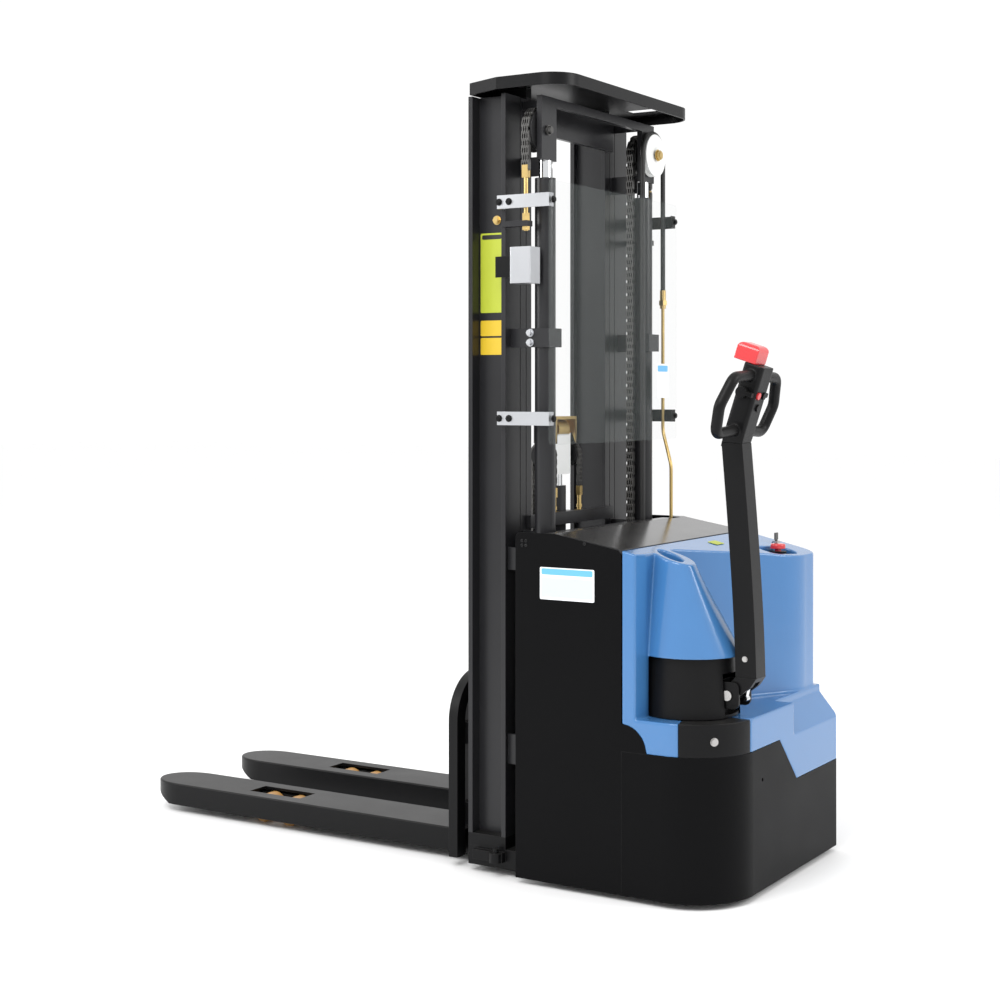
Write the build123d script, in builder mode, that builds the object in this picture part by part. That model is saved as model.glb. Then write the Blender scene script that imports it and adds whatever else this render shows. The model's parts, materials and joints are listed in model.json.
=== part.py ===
from build123d import *

import os
from math import cos, radians, sin

# Walkie stacker with a three-stage mast. Millimetres, +Z up, floor at z = 0, forks toward -X,
# operator toward +X, operator's left toward -Y. The origin is the bottom centre of the bounding box.

# ---- Driving dimensions ----
fork_length = 1150
fork_heel_x = 123
fork_width = 170
fork_centre_y = 195
fork_top_z = 89
fork_plate = 8
fork_skirt_z = 24
fork_tip_taper = 120

leg_width = 120
leg_bottom_z = 20
leg_top_z = 72
load_roller_d = 80
load_roller_width = 68
load_roller_x = (-606, -507)
axle_d = 20

mast_front_x = 210
rail_depth = 118
flange = 13
outer_rail_inner_y = 272
outer_rail_outer_y = 347
middle_rail_y = (241, 269)
inner_rail_y = (212, 238)
rail_web = 8
outer_rail_z = (105, 2096)
middle_rail_z = (115, 2094)
inner_rail_z = (125, 2100)
mast_roller_gap = 0.5

chassis_half_width = 384
chassis_bottom_z = 16
chassis_rim_z = 382
steer_axis = (809, -210)
corner_radius = 174
panel_front_x = 382
panel_rear_x = 697
panel_top_z = 927
panel_thickness = 3
shell_wall = 5

cylinder_y = 285
cylinder_x = 415
cylinder_d = 56
cylinder_bore = 46
cylinder_top_z = 1868
rod_d = 35
rod_fit = 0.05

sheave_y = 298
sheave_z = 1994
sheave_x = (382, 412)
sheave_r = 50
chain_thickness = 14

top_plate_z = 2100
top_plate_height = 32

drive_wheel_d = 230
drive_wheel_width = 75
caster_wheel_d = 125
caster_wheel_width = 50
caster_axis = (809, 215)

drum_r = (127, 117)
tiller_pivot = (930, 526)
tiller_section = (57, 58)
clearance = 0.3
fit = 0.05

# ---- Sizes worked out from the driving dimensions ----
mast_rear_x = mast_front_x + rail_depth
mast_mid_x = mast_front_x + rail_depth / 2
fork_tip_x = fork_heel_x - fork_length
channel_depth = rail_depth - 2 * flange
mast_roller_d = channel_depth - 2 * mast_roller_gap
steer_x, steer_y = steer_axis
pivot_x, pivot_z = tiller_pivot
chassis_rear_x = steer_x + corner_radius
left_right = (-1, 1)


def block(x_range, y_range, z_range, mode=Mode.ADD):
    """Box between two corners."""
    ranges = (x_range, y_range, z_range)
    with Locations([tuple((low + high) / 2 for low, high in ranges)]):
        Box(*[high - low for low, high in ranges], mode=mode)


def cut_block(x_range, y_range, z_range):
    """Box between two corners, cut from the open part."""
    block(x_range, y_range, z_range, Mode.SUBTRACT)


def rod_x(radius, centre, length, mode=Mode.ADD):
    """Cylinder along X."""
    with Locations([centre]):
        Cylinder(radius, length, rotation=(0, 90, 0), mode=mode)


def rod_y(radius, centre, length, mode=Mode.ADD):
    """Cylinder along Y."""
    with Locations([centre]):
        Cylinder(radius, length, rotation=(90, 0, 0), mode=mode)


def rod_z(radius, centre, length, mode=Mode.ADD):
    """Cylinder along Z."""
    with Locations([centre]):
        Cylinder(radius, length, mode=mode)


def side_range(side, low, high):
    """Range in Y on the left (side -1) or the right (side 1), from two distances off the centre plane."""
    return (low, high) if side > 0 else (-high, -low)


# ---- Base frame: legs, cross member and the pads that the mast stands on ----
base_cross_x = (mast_front_x, 470)
leg_front_x = -690
leg_slot_x = (load_roller_x[0] - 46, load_roller_x[1] + 46)

leg_wall = 8
leg_nose_r = 25
slot_half = 37

with BuildPart() as legs:
    half_leg = leg_width / 2
    for side in left_right:
        leg_y = side_range(side, fork_centre_y - half_leg, fork_centre_y + half_leg)
        block((leg_front_x, base_cross_x[0]), leg_y, (leg_bottom_z, leg_top_z))
        cut_block(leg_slot_x, side_range(side, fork_centre_y - slot_half, fork_centre_y + slot_half), (0, leg_top_z + 1))
        channel_y = side_range(side, fork_centre_y - half_leg + leg_wall, fork_centre_y + half_leg - leg_wall)
        cut_block((leg_slot_x[1] + 20, mast_front_x - 10), channel_y, (leg_bottom_z - 1, leg_top_z - leg_wall))
        for x in load_roller_x:
            rod_y(axle_d / 2 + fit, (x, side * fork_centre_y, load_roller_d / 2), leg_width + 2, Mode.SUBTRACT)
    nose_edges = legs.edges().filter_by(Axis.Z).filter_by_position(Axis.X, leg_front_x - 1, leg_front_x + 1)
    fillet(nose_edges, leg_nose_r)

with BuildPart() as base_cross:
    block(base_cross_x, (-outer_rail_outer_y, outer_rail_outer_y), (leg_bottom_z, leg_top_z))

with BuildPart() as mast_pads:
    for side in left_right:
        pad_y = side_range(side, outer_rail_inner_y, outer_rail_outer_y)
        block((mast_front_x, mast_rear_x), pad_y, (leg_top_z, outer_rail_z[0]))

with BuildPart() as roller_axles:
    for side in left_right:
        for x in load_roller_x:
            rod_y(axle_d / 2, (x, side * fork_centre_y, load_roller_d / 2), leg_width)

with BuildPart() as mast_feet:
    for side in left_right:
        foot_y = side * (outer_rail_outer_y + 18)
        foot_range = side_range(side, outer_rail_outer_y, outer_rail_outer_y + 18)
        block((mast_front_x + 25, mast_rear_x), foot_range, (40, 66))
        rod_z(17, (mast_rear_x - 20, foot_y, 53), 26)
        rod_z(8, (mast_rear_x - 20, foot_y, 66 + 5), 10)


def load_roller(x, y):
    """Polyurethane load roller with a steel hub, waisted at its ends."""
    with BuildPart() as roller:
        rod_y(load_roller_d / 2, (x, y, load_roller_d / 2), load_roller_width)
        rod_y(axle_d / 2 + fit, (x, y, load_roller_d / 2), load_roller_width + 2, Mode.SUBTRACT)
        rims = roller.edges().filter_by(GeomType.CIRCLE).group_by(SortBy.RADIUS)[-1]
        chamfer(rims, 3)
    return roller


load_roller_front_left = load_roller(load_roller_x[0], -fork_centre_y)
load_roller_rear_left = load_roller(load_roller_x[1], -fork_centre_y)
load_roller_front_right = load_roller(load_roller_x[0], fork_centre_y)
load_roller_rear_right = load_roller(load_roller_x[1], fork_centre_y)


# ---- Forks and carriage ----
shank_x = (fork_heel_x, fork_heel_x + 30)
shank_width = 110
shank_top_z = 470


def fork(centre_y):
    """Fork arm: an open-bottomed channel over the base leg, with a rounded tip and a shank at the heel."""
    half = fork_width / 2
    taper_x = fork_tip_x + fork_tip_taper
    nose_x = fork_tip_x + 45
    with BuildPart() as arm:
        with BuildSketch(Plane.XY.offset(fork_skirt_z)):
            with BuildLine():
                Polyline((taper_x, centre_y - half), (shank_x[1], centre_y - half), (shank_x[1], centre_y + half),
                         (taper_x, centre_y + half))
                Bezier((taper_x, centre_y + half), (nose_x, centre_y + half), (fork_tip_x, centre_y + half / 2),
                       (fork_tip_x, centre_y))
                Bezier((fork_tip_x, centre_y), (fork_tip_x, centre_y - half / 2), (nose_x, centre_y - half),
                       (taper_x, centre_y - half))
            make_face()
        extrude(amount=fork_top_z - fork_skirt_z)
        fillet(arm.faces().sort_by(Axis.Z)[-1].edges().filter_by(Axis.Y, reverse=True), 5)
        inner_y = (centre_y - half + fork_plate, centre_y + half - fork_plate)
        cut_block((taper_x - 20, shank_x[1] + 1), inner_y, (fork_skirt_z - 1, fork_top_z - fork_plate))
        slot_y = (centre_y - slot_half, centre_y + slot_half)
        cut_block(leg_slot_x, slot_y, (fork_top_z - fork_plate - 1, fork_top_z + 1))
        with BuildSketch(Plane.XZ.offset(-centre_y)):
            with BuildLine():
                Polyline((fork_tip_x - 1, fork_skirt_z - 1), (fork_tip_x + 90, fork_skirt_z - 1),
                         (fork_tip_x - 1, fork_skirt_z + 38), close=True)
            make_face()
        extrude(amount=fork_width, both=True, mode=Mode.SUBTRACT)
        shank_y = (centre_y - shank_width / 2, centre_y + shank_width / 2)
        block(shank_x, shank_y, (fork_top_z - fork_plate, shank_top_z))
    return arm


fork_left = fork(-fork_centre_y)
fork_right = fork(fork_centre_y)

hoop_x = (140, 168)
hoop_y = (298, 338)
hoop_z = (26, 525)
hoop_corner = 130
carriage_bar_x = (shank_x[1], shank_x[1] + 26)
carriage_bars_z = ((110, 170), (330, 390))
carriage_side_y = (182, 204)
carriage_side_x = (carriage_bar_x[1], mast_rear_x - 16)
chain_bar_x = (214, 234)
chain_bar_z = (280, 330)

with BuildPart() as backrest_hoop:
    with BuildSketch(Plane.YZ.offset(hoop_x[0])):
        with BuildLine():
            FilletPolyline((-hoop_y[1], hoop_z[0]), (-hoop_y[1], hoop_z[1]), (hoop_y[1], hoop_z[1]),
                           (hoop_y[1], hoop_z[0]), radius=hoop_corner)
            inner_z = hoop_z[1] - (hoop_y[1] - hoop_y[0])
            FilletPolyline((-hoop_y[0], hoop_z[0]), (-hoop_y[0], inner_z), (hoop_y[0], inner_z),
                           (hoop_y[0], hoop_z[0]), radius=hoop_corner - (hoop_y[1] - hoop_y[0]))
            Line((-hoop_y[1], hoop_z[0]), (-hoop_y[0], hoop_z[0]))
            Line((hoop_y[1], hoop_z[0]), (hoop_y[0], hoop_z[0]))
        make_face()
    extrude(amount=hoop_x[1] - hoop_x[0])

with BuildPart() as carriage_bars:
    for z_range in carriage_bars_z:
        block(carriage_bar_x, (-hoop_y[0], hoop_y[0]), z_range)

with BuildPart() as carriage_sides:
    for side in left_right:
        block(carriage_side_x, side_range(side, *carriage_side_y), (carriage_bars_z[0][0], shank_top_z + 60))

with BuildPart() as chain_bar:
    block(chain_bar_x, (-carriage_side_y[0], carriage_side_y[0]), chain_bar_z)

carriage_roller_z = (190, 440)
carriage_roller_y = (carriage_side_y[1], inner_rail_y[1] - rail_web - clearance)

with BuildPart() as carriage_rollers:
    for side in left_right:
        for z in carriage_roller_z:
            disc_y = side * (inner_rail_y[0] + carriage_roller_y[1]) / 2
            rod_y(mast_roller_d / 2, (mast_mid_x, disc_y, z), carriage_roller_y[1] - inner_rail_y[0])
            stub_y = side * (carriage_side_y[1] + inner_rail_y[0]) / 2
            rod_y(20, (mast_mid_x, stub_y, z), inner_rail_y[0] - carriage_side_y[1])


# ---- Mast rails ----
def channel_rails(y_range, z_range, web_y):
    """Pair of rails whose two flanges lie fore and aft of a web."""
    with BuildPart() as rails:
        for side in left_right:
            for x_range in ((mast_front_x, mast_front_x + flange), (mast_rear_x - flange, mast_rear_x)):
                block(x_range, side_range(side, *y_range), z_range)
            block((mast_front_x, mast_rear_x), side_range(side, *web_y), z_range)
    return rails


outer_web_y = (outer_rail_inner_y + 28, outer_rail_inner_y + 38)
outer_rails = channel_rails((outer_rail_inner_y, outer_rail_outer_y), outer_rail_z, outer_web_y)
middle_rails = channel_rails(middle_rail_y, middle_rail_z, (middle_rail_y[1] - rail_web, middle_rail_y[1]))
inner_rails = channel_rails(inner_rail_y, inner_rail_z, (inner_rail_y[1] - rail_web, inner_rail_y[1]))


def mast_rollers(rail_face_y, outer_web_inner_y, z):
    """Pair of rollers on the outward face of a rail, in the channel of the next rail out."""
    with BuildPart() as rollers:
        for side in left_right:
            width = outer_web_inner_y - clearance - rail_face_y
            centre_y = side * (rail_face_y + width / 2)
            rod_y(mast_roller_d / 2, (mast_mid_x, centre_y, z), width)
    return rollers


middle_rollers = mast_rollers(middle_rail_y[1], outer_web_y[0], middle_rail_z[0] + 60)
inner_rollers = mast_rollers(inner_rail_y[1], middle_rail_y[1] - rail_web, inner_rail_z[0] + 60)

# ---- Crossbeams: each stage clears the one inside it ----
inner_beam_x = (mast_rear_x, mast_rear_x + 14)
inner_beams_z = ((180, 250), (925, 960), (2005, 2085))
middle_beam_x = (414, 430)
middle_arm_y = (250.5, 255.5)
middle_beams_z = ((150, 230), (860, 920), (2062, 2085))
middle_head_z = (1915, 2085)
middle_foot_z = (1880, 1932)
outer_beam_x = (456, 468)
outer_arm_y = (320, 332)
outer_beams_z = ((300, 380), (820, 880))

with BuildPart() as inner_crossbeams:
    for z_range in inner_beams_z:
        block(inner_beam_x, (-inner_rail_y[1], inner_rail_y[1]), z_range)
    for side in left_right:
        chain_near_y = sheave_y - sheave_r - chain_thickness
        block((mast_rear_x, sheave_x[1]), side_range(side, 218, chain_near_y - clearance), (140, 176))

with BuildPart() as middle_beams:
    for z_range in middle_beams_z:
        half_beam = middle_arm_y[0] if z_range[1] == middle_head_z[1] else middle_arm_y[1]
        block(middle_beam_x, (-half_beam, half_beam), z_range)

with BuildPart() as middle_arms:
    for side in left_right:
        for z_range in (*middle_beams_z, middle_foot_z):
            block((mast_rear_x, middle_beam_x[0]), side_range(side, *middle_arm_y), z_range)

with BuildPart() as middle_heads:
    for side in left_right:
        block(middle_beam_x, side_range(side, middle_arm_y[0], sheave_y + 30), middle_head_z)
        rod_x(axle_d / 2 + 3, (middle_beam_x[0] + 8, side * sheave_y, sheave_z), 20, Mode.SUBTRACT)

with BuildPart() as outer_beams:
    for z_range in outer_beams_z:
        block(outer_beam_x, (-outer_arm_y[1], outer_arm_y[1]), z_range)

with BuildPart() as outer_arms:
    for z_range in outer_beams_z:
        for side in left_right:
            block((mast_rear_x, outer_beam_x[0]), side_range(side, *outer_arm_y), z_range)

# ---- Side lift cylinders, rods and sheaves ----
rod_top_z = middle_head_z[0]
rod_bottom_z = 220

with BuildPart() as lift_cylinders:
    for side in left_right:
        base_z = leg_top_z
        centre = (cylinder_x, side * cylinder_y)
        rod_z(cylinder_d / 2, (*centre, (base_z + cylinder_top_z) / 2), cylinder_top_z - base_z)
        rod_z(cylinder_bore / 2, (*centre, (base_z + 20 + cylinder_top_z) / 2), cylinder_top_z - base_z - 20,
              Mode.SUBTRACT)
        rod_z(cylinder_d / 2, (*centre, cylinder_top_z - 20), 40)
        rod_z(rod_d / 2 + rod_fit, (*centre, cylinder_top_z - 20), 42, Mode.SUBTRACT)

with BuildPart() as lift_rods:
    for side in left_right:
        rod_z(rod_d / 2, (cylinder_x, side * cylinder_y, (rod_bottom_z + rod_top_z) / 2), rod_top_z - rod_bottom_z)
        rod_z(cylinder_bore / 2 - fit, (cylinder_x, side * cylinder_y, rod_bottom_z + 15), 30)


def sheave(y, width_x, radius, teeth_groove):
    """Grooved wheel on an axle along X."""
    centre_x = (width_x[0] + width_x[1]) / 2
    with BuildPart() as wheel:
        rod_x(radius, (centre_x, y, sheave_z), width_x[1] - width_x[0])
        with BuildSketch(Plane.XY.offset(sheave_z)):
            with Locations((centre_x, y + radius)):
                Rectangle((width_x[1] - width_x[0]) - 2 * teeth_groove, 12)
        revolve(axis=Axis((centre_x, y, sheave_z), (1, 0, 0)), mode=Mode.SUBTRACT)
        rod_x(axle_d / 2 + fit, (centre_x, y, sheave_z), 60, Mode.SUBTRACT)
    return wheel


chain_sheave_left = sheave(-sheave_y, sheave_x, sheave_r + 6, 3)
chain_sheave_right = sheave(sheave_y, sheave_x, sheave_r + 6, 3)
pulley_x = (432, 452)
pulley_r = 62
hose_pulley = sheave(sheave_y, pulley_x, pulley_r, 3)

with BuildPart() as sheave_axles:
    for side in left_right:
        axle_end_x = pulley_x[1] + 6 if side > 0 else middle_beam_x[1] + 4
        start_x = sheave_x[0] - 8
        rod_x(axle_d / 2, ((start_x + axle_end_x) / 2, side * sheave_y, sheave_z), axle_end_x - start_x)
        rod_x(axle_d / 2 + 6, (start_x - 4, side * sheave_y, sheave_z), 8)
        rod_x(axle_d / 2 + 3, (middle_beam_x[0] + 8, side * sheave_y, sheave_z), 16)

# ---- Side chains, their anchors, and the lift hose ----
chain_inner_r = sheave_r + clearance
chain_outer_r = sheave_r + chain_thickness
chain_x = (sheave_x[0] + 3 + clearance, sheave_x[1] - 3 - clearance)
outer_anchor_z = 1898
inner_anchor_z = 176
chain_mid_x = sum(chain_x) / 2
outer_fall_y = sheave_y + (chain_inner_r + chain_outer_r) / 2


def wrapped_strand(plane, sign, centre, top_z, inner_r, outer_r, near_z, far_z, width):
    """Strand that hangs over a wheel: a near fall toward the centre plane, half a turn, and a far fall."""
    with BuildPart() as strand:
        with BuildSketch(plane):
            with BuildLine():
                Line((sign * (centre - outer_r), near_z), (sign * (centre - outer_r), top_z))
                ThreePointArc((sign * (centre - outer_r), top_z), (sign * centre, top_z + outer_r),
                              (sign * (centre + outer_r), top_z))
                Polyline((sign * (centre + outer_r), top_z), (sign * (centre + outer_r), far_z),
                         (sign * (centre + inner_r), far_z), (sign * (centre + inner_r), top_z))
                ThreePointArc((sign * (centre + inner_r), top_z), (sign * centre, top_z + inner_r),
                              (sign * (centre - inner_r), top_z))
                Polyline((sign * (centre - inner_r), top_z), (sign * (centre - inner_r), near_z),
                         (sign * (centre - outer_r), near_z))
            make_face()
        extrude(amount=width)
    return strand


chain_plane = Plane.YZ.offset(chain_x[0])
side_chain_left = wrapped_strand(chain_plane, -1, sheave_y, sheave_z, chain_inner_r, chain_outer_r,
                                 inner_anchor_z + clearance, outer_anchor_z, chain_x[1] - chain_x[0])
side_chain_right = wrapped_strand(chain_plane, 1, sheave_y, sheave_z, chain_inner_r, chain_outer_r,
                                  inner_anchor_z + clearance, outer_anchor_z, chain_x[1] - chain_x[0])

lug_z = (1735, 1750)
anchor_rod_z = (1723, outer_anchor_z - 34)

with BuildPart() as anchor_brackets:
    for side in left_right:
        block((mast_rear_x, chain_x[1]), side_range(side, outer_fall_y - 14, outer_fall_y + 14), lug_z)
        rod_z(6 + fit, (chain_mid_x, side * outer_fall_y, sum(lug_z) / 2), 16, Mode.SUBTRACT)

with BuildPart() as side_chain_anchors:
    for side in left_right:
        rod_z(6, (chain_mid_x, side * outer_fall_y, sum(anchor_rod_z) / 2), anchor_rod_z[1] - anchor_rod_z[0])
        block((chain_mid_x - 9, chain_mid_x + 9), side_range(side, outer_fall_y - 7, outer_fall_y + 7),
              (anchor_rod_z[1], outer_anchor_z - clearance))
        for z in (lug_z[0] - 5, lug_z[1] + 5, lug_z[1] + 15):
            with BuildSketch(Plane.XY.offset(z - 5)):
                with Locations((chain_mid_x, side * outer_fall_y)):
                    RegularPolygon(11, 6)
            extrude(amount=10)

hose_d = 18
hose_groove_r = pulley_r - 6
hose_r = hose_groove_r + clearance + hose_d / 2
hose_x = (pulley_x[0] + pulley_x[1]) / 2
hose_end_z = 1600
hose_inner_end_z = 320

with BuildPart() as lift_hose:
    with BuildLine() as hose_path:
        Line((hose_x, sheave_y + hose_r, hose_end_z), (hose_x, sheave_y + hose_r, sheave_z))
        ThreePointArc((hose_x, sheave_y + hose_r, sheave_z), (hose_x, sheave_y, sheave_z + hose_r),
                      (hose_x, sheave_y - hose_r, sheave_z))
        Line((hose_x, sheave_y - hose_r, sheave_z), (hose_x, sheave_y - hose_r, hose_inner_end_z))
    with BuildSketch(Plane.XY.offset(hose_end_z)):
        with Locations((hose_x, sheave_y + hose_r)):
            Circle(hose_d / 2 - 2)
    sweep()

fitting_z = (1545, hose_end_z - clearance)
pipe_d = 10
pipe_bottom_z = 900

with BuildPart() as hose_fitting:
    rod_z(9, (hose_x, sheave_y + hose_r, sum(fitting_z) / 2), fitting_z[1] - fitting_z[0])
    with BuildSketch(Plane.XY.offset(fitting_z[0] + 10)):
        with Locations((hose_x, sheave_y + hose_r)):
            RegularPolygon(13, 6)
    extrude(amount=14)

with BuildPart() as hydraulic_pipe:
    with BuildLine() as pipe_path:
        FilletPolyline((hose_x, sheave_y + hose_r, fitting_z[0]), (hose_x, sheave_y + hose_r, 1180),
                       (hose_x + 42, sheave_y + hose_r - 30, 1080), (hose_x + 42, sheave_y + hose_r - 30, pipe_bottom_z),
                       radius=60)
    with BuildSketch(Plane.XY.offset(fitting_z[0])):
        with Locations((hose_x, sheave_y + hose_r)):
            Circle(pipe_d / 2)
    sweep()

# ---- Guard screen, its brackets, and what is clamped to the outer mast ----
guard_x = (475, 480)
guard_y = (-370, 380)
guard_z = (1157, 1854)
bracket_height = 36
bracket_z = (1802, 1226)
bracket_plate = 3

with BuildPart() as guard_screen:
    block(guard_x, guard_y, guard_z)
    fillet(guard_screen.edges().filter_by(Axis.X), 12)


def guard_bracket(rail_y, strip_y):
    """Pair of Z-shaped strips from a mast rail to the guard's edge; strip_y is the strip's outer face."""
    side = 1 if strip_y > 0 else -1
    inner_face = abs(strip_y) - bracket_plate
    with BuildPart() as bracket:
        for z in bracket_z:
            z_range = (z - bracket_height / 2, z + bracket_height / 2)
            block((mast_rear_x - flange, guard_x[0]), side_range(side, inner_face, abs(strip_y)), z_range)
            block((mast_rear_x - flange, mast_rear_x), side_range(side, rail_y, inner_face), z_range)
            block((guard_x[0] - bracket_plate, guard_x[0]), side_range(side, inner_face - 22, inner_face), z_range)
    return bracket


guard_bracket_left = guard_bracket(outer_rail_outer_y, guard_y[0] + 1)
guard_bracket_right = guard_bracket(outer_rail_outer_y, guard_y[1] - 1)
guard_edge_y = (guard_y[0] + 15, guard_y[1] - 15)

with BuildPart() as guard_bolts:
    for y in guard_edge_y:
        for z in bracket_z:
            rod_x(7, (guard_x[1] + 3, y, z), 6)
    for z in bracket_z:
        for x in (mast_rear_x - flange / 2, mast_rear_x + 24):
            rod_y(4, (x, guard_y[0] + 1 - 1.5, z), 3)

switch_x = (368, 430)
switch_y = (-391, -336)
switch_z = (1583, 1679)

with BuildPart() as limit_switch_box:
    block(switch_x, switch_y, switch_z)
    fillet(limit_switch_box.edges().filter_by(Axis.Z), 3)
    block((mast_rear_x - 30, switch_x[0] + 40), (-outer_rail_outer_y - bracket_plate, -outer_rail_outer_y),
          (switch_z[0] + 20, switch_z[1] - 20))

clamp_z = (1416, 1466)
clamp_x = (cylinder_x - 35, cylinder_x + 35)
clamp_y = (cylinder_y - cylinder_d / 2 + 1, cylinder_y + cylinder_d / 2 + 8)

with BuildPart() as cylinder_clamps:
    for side in left_right:
        block(clamp_x, side_range(side, *clamp_y), clamp_z)
        block((mast_rear_x, clamp_x[0]), side_range(side, 290, 318), clamp_z)
        rod_z(cylinder_d / 2 + fit, (cylinder_x, side * cylinder_y, sum(clamp_z) / 2), 52, Mode.SUBTRACT)
        for z in (clamp_z[0] + 12, clamp_z[1] - 12):
            rod_y(6, (clamp_x[0] + 10, side * (clamp_y[1] + 4), z), 8)

# ---- Top plate: a tray with a turned-down rim, carried by the inner mast ----
top_front_x = 214
top_rear_x = 532
top_wall = 5
top_front_half = 347
top_rear_half = 391
top_flare_x = 325
top_corner = 80
tray_z = (top_plate_z + top_plate_height - top_wall, top_plate_z + top_plate_height)

with BuildPart() as top_plate:
    with BuildSketch(Plane.XY.offset(top_plate_z)):
        with BuildLine():
            Polyline((top_front_x, -top_front_half), (top_front_x, top_front_half), (top_flare_x, top_rear_half))
            FilletPolyline((top_flare_x, top_rear_half), (top_rear_x, top_rear_half), (top_rear_x, -top_rear_half),
                           (top_flare_x, -top_rear_half), radius=top_corner)
            Line((top_flare_x, -top_rear_half), (top_front_x, -top_front_half))
        make_face()
    extrude(amount=top_plate_height)
    tray_floor = top_plate.faces().sort_by(Axis.Z)[0]
    with BuildSketch(Plane.XY.offset(top_plate_z)):
        add(tray_floor)
        offset(amount=-top_wall, mode=Mode.REPLACE)
    extrude(amount=top_plate_height - top_wall, mode=Mode.SUBTRACT)
    for side in left_right:
        block((mast_front_x + 9, mast_rear_x), side_range(side, *inner_rail_y), (top_plate_z, tray_z[0]))
        cut_block((360, 480), side_range(side, 268, 330), (tray_z[0] - 1, tray_z[1] + 1))

# ---- Free-lift cylinder with its crosshead, chain wheels, chains and anchors ----
free_x = 284
free_d = 56
free_bore = 46
free_z = (190, 1030)
free_rod_d = 34
free_wheel_y = 72
free_wheel_z = 1117
free_wheel_r = 29
free_chain_t = 12
free_chain_inner_r = free_wheel_r + clearance
free_chain_outer_r = free_wheel_r + free_chain_t
free_chain_width = 18
crosshead_z = (1062, 1180)

with BuildPart() as free_lift_cylinder:
    rod_z(free_d / 2, (free_x, 0, sum(free_z) / 2), free_z[1] - free_z[0])
    for z_range in inner_beams_z[:2]:
        block((free_x, inner_beam_x[0]), (-24, 24), z_range)
    rod_z(free_bore / 2, (free_x, 0, (free_z[0] + free_z[1]) / 2), free_z[1] - free_z[0] - 40, Mode.SUBTRACT)
    rod_z(free_rod_d / 2 + rod_fit, (free_x, 0, free_z[1] - 10), 42, Mode.SUBTRACT)

free_rod_z = (300, crosshead_z[0])

with BuildPart() as free_lift_rod:
    rod_z(free_rod_d / 2, (free_x, 0, sum(free_rod_z) / 2), free_rod_z[1] - free_rod_z[0])

with BuildPart() as crosshead:
    block((free_x - 22, free_x + 22), (-44, 44), crosshead_z)
    for side in left_right:
        rod_y(10, (free_x, side * 66, free_wheel_z), 50)
    rod_y(28, (free_x, 0, crosshead_z[1] + 10), 60)

with BuildPart() as crosshead_guide:
    block((free_x - 40, free_x + 34), (-58, 58), (crosshead_z[1] + 39, crosshead_z[1] + 47))
    for y in (-58, 52):
        block((free_x - 40, free_x + 34), (y, y + 6), (crosshead_z[1] - 30, crosshead_z[1] + 39))
    block((free_x - 22, free_x + 22), (-52, -44), (crosshead_z[1] - 30, crosshead_z[1]))
    block((free_x - 22, free_x + 22), (44, 52), (crosshead_z[1] - 30, crosshead_z[1]))

with BuildPart() as free_lift_wheels:
    for side in left_right:
        centre = (free_x, side * free_wheel_y, free_wheel_z)
        rod_y(free_wheel_r, centre, free_chain_width + 2)
        for y_side in left_right:
            face_y = side * free_wheel_y + y_side * (free_chain_width / 2 + 1.5)
            rod_y(free_wheel_r + 5, (free_x, face_y, free_wheel_z), 2)
        rod_y(10 + fit, centre, 30, Mode.SUBTRACT)

front_fall_z = chain_bar_z[1] + 6
rear_fall_z = 1027

with BuildPart() as free_lift_chains:
    for side in left_right:
        chain_face = Plane.XZ.offset(-side * free_wheel_y - free_chain_width / 2 + clearance)
        strand = wrapped_strand(chain_face, -1, -free_x, free_wheel_z, free_chain_inner_r, free_chain_outer_r,
                                rear_fall_z, front_fall_z, free_chain_width - 2 * clearance)
        add(strand.part)

with BuildPart() as free_lift_anchors:
    for side in left_right:
        anchor_x = free_x + (free_chain_inner_r + free_chain_outer_r) / 2
        rod_z(6, (anchor_x, side * free_wheel_y, 965), 70)
        block((anchor_x - 6, anchor_x + 6), side_range(side, free_wheel_y - 8, free_wheel_y + 8),
              (1000, rear_fall_z - clearance))
        for z in (945, 970):
            rod_z(8, (anchor_x, side * free_wheel_y, z), 9)
        block((anchor_x - 8, inner_beam_x[0]), side_range(side, free_wheel_y - 16, free_wheel_y + 16), (952, 960))

with BuildPart() as carriage_chain_clevis:
    for side in left_right:
        clevis_x = (chain_bar_x[1], free_x - free_chain_inner_r + 2)
        for y in (free_wheel_y - 16, free_wheel_y + 10):
            block(clevis_x, side_range(side, y, y + 6), chain_bar_z)

# ---- Chassis ----
frame_front_x = 472
frame_plate = 6
turntable_z = (366, 374)
drum_base_z = 467
neck_r = 60

inner_y = chassis_half_width - shell_wall
frame_half = inner_y - 2

with BuildPart() as front_plate:
    block((frame_front_x, frame_front_x + frame_plate), (-frame_half, frame_half), (leg_top_z, 900))

with BuildPart() as frame_sides:
    for side in left_right:
        side_y = side_range(side, frame_half - frame_plate, frame_half)
        block((frame_front_x + frame_plate, steer_x - 30), side_y, (40, turntable_z[0]))

with BuildPart() as frame_tabs:
    for side in left_right:
        tab_y = side_range(side, outer_rail_outer_y - 20, frame_half)
        block((panel_front_x, frame_front_x), tab_y, (leg_top_z, 130))

with BuildPart() as turntable:
    inner_radius = corner_radius - shell_wall - clearance
    turntable_thickness = turntable_z[1] - turntable_z[0]
    block((panel_rear_x, steer_x), (-frame_half, frame_half), turntable_z)
    block((steer_x, steer_x + inner_radius), (steer_y, inner_y - 12), turntable_z)
    rod_z(inner_radius - 1, (steer_x, steer_y, sum(turntable_z) / 2), turntable_thickness)
    rod_z(neck_r + 1, (steer_x, steer_y, sum(turntable_z) / 2), turntable_thickness + 2, Mode.SUBTRACT)


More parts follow.
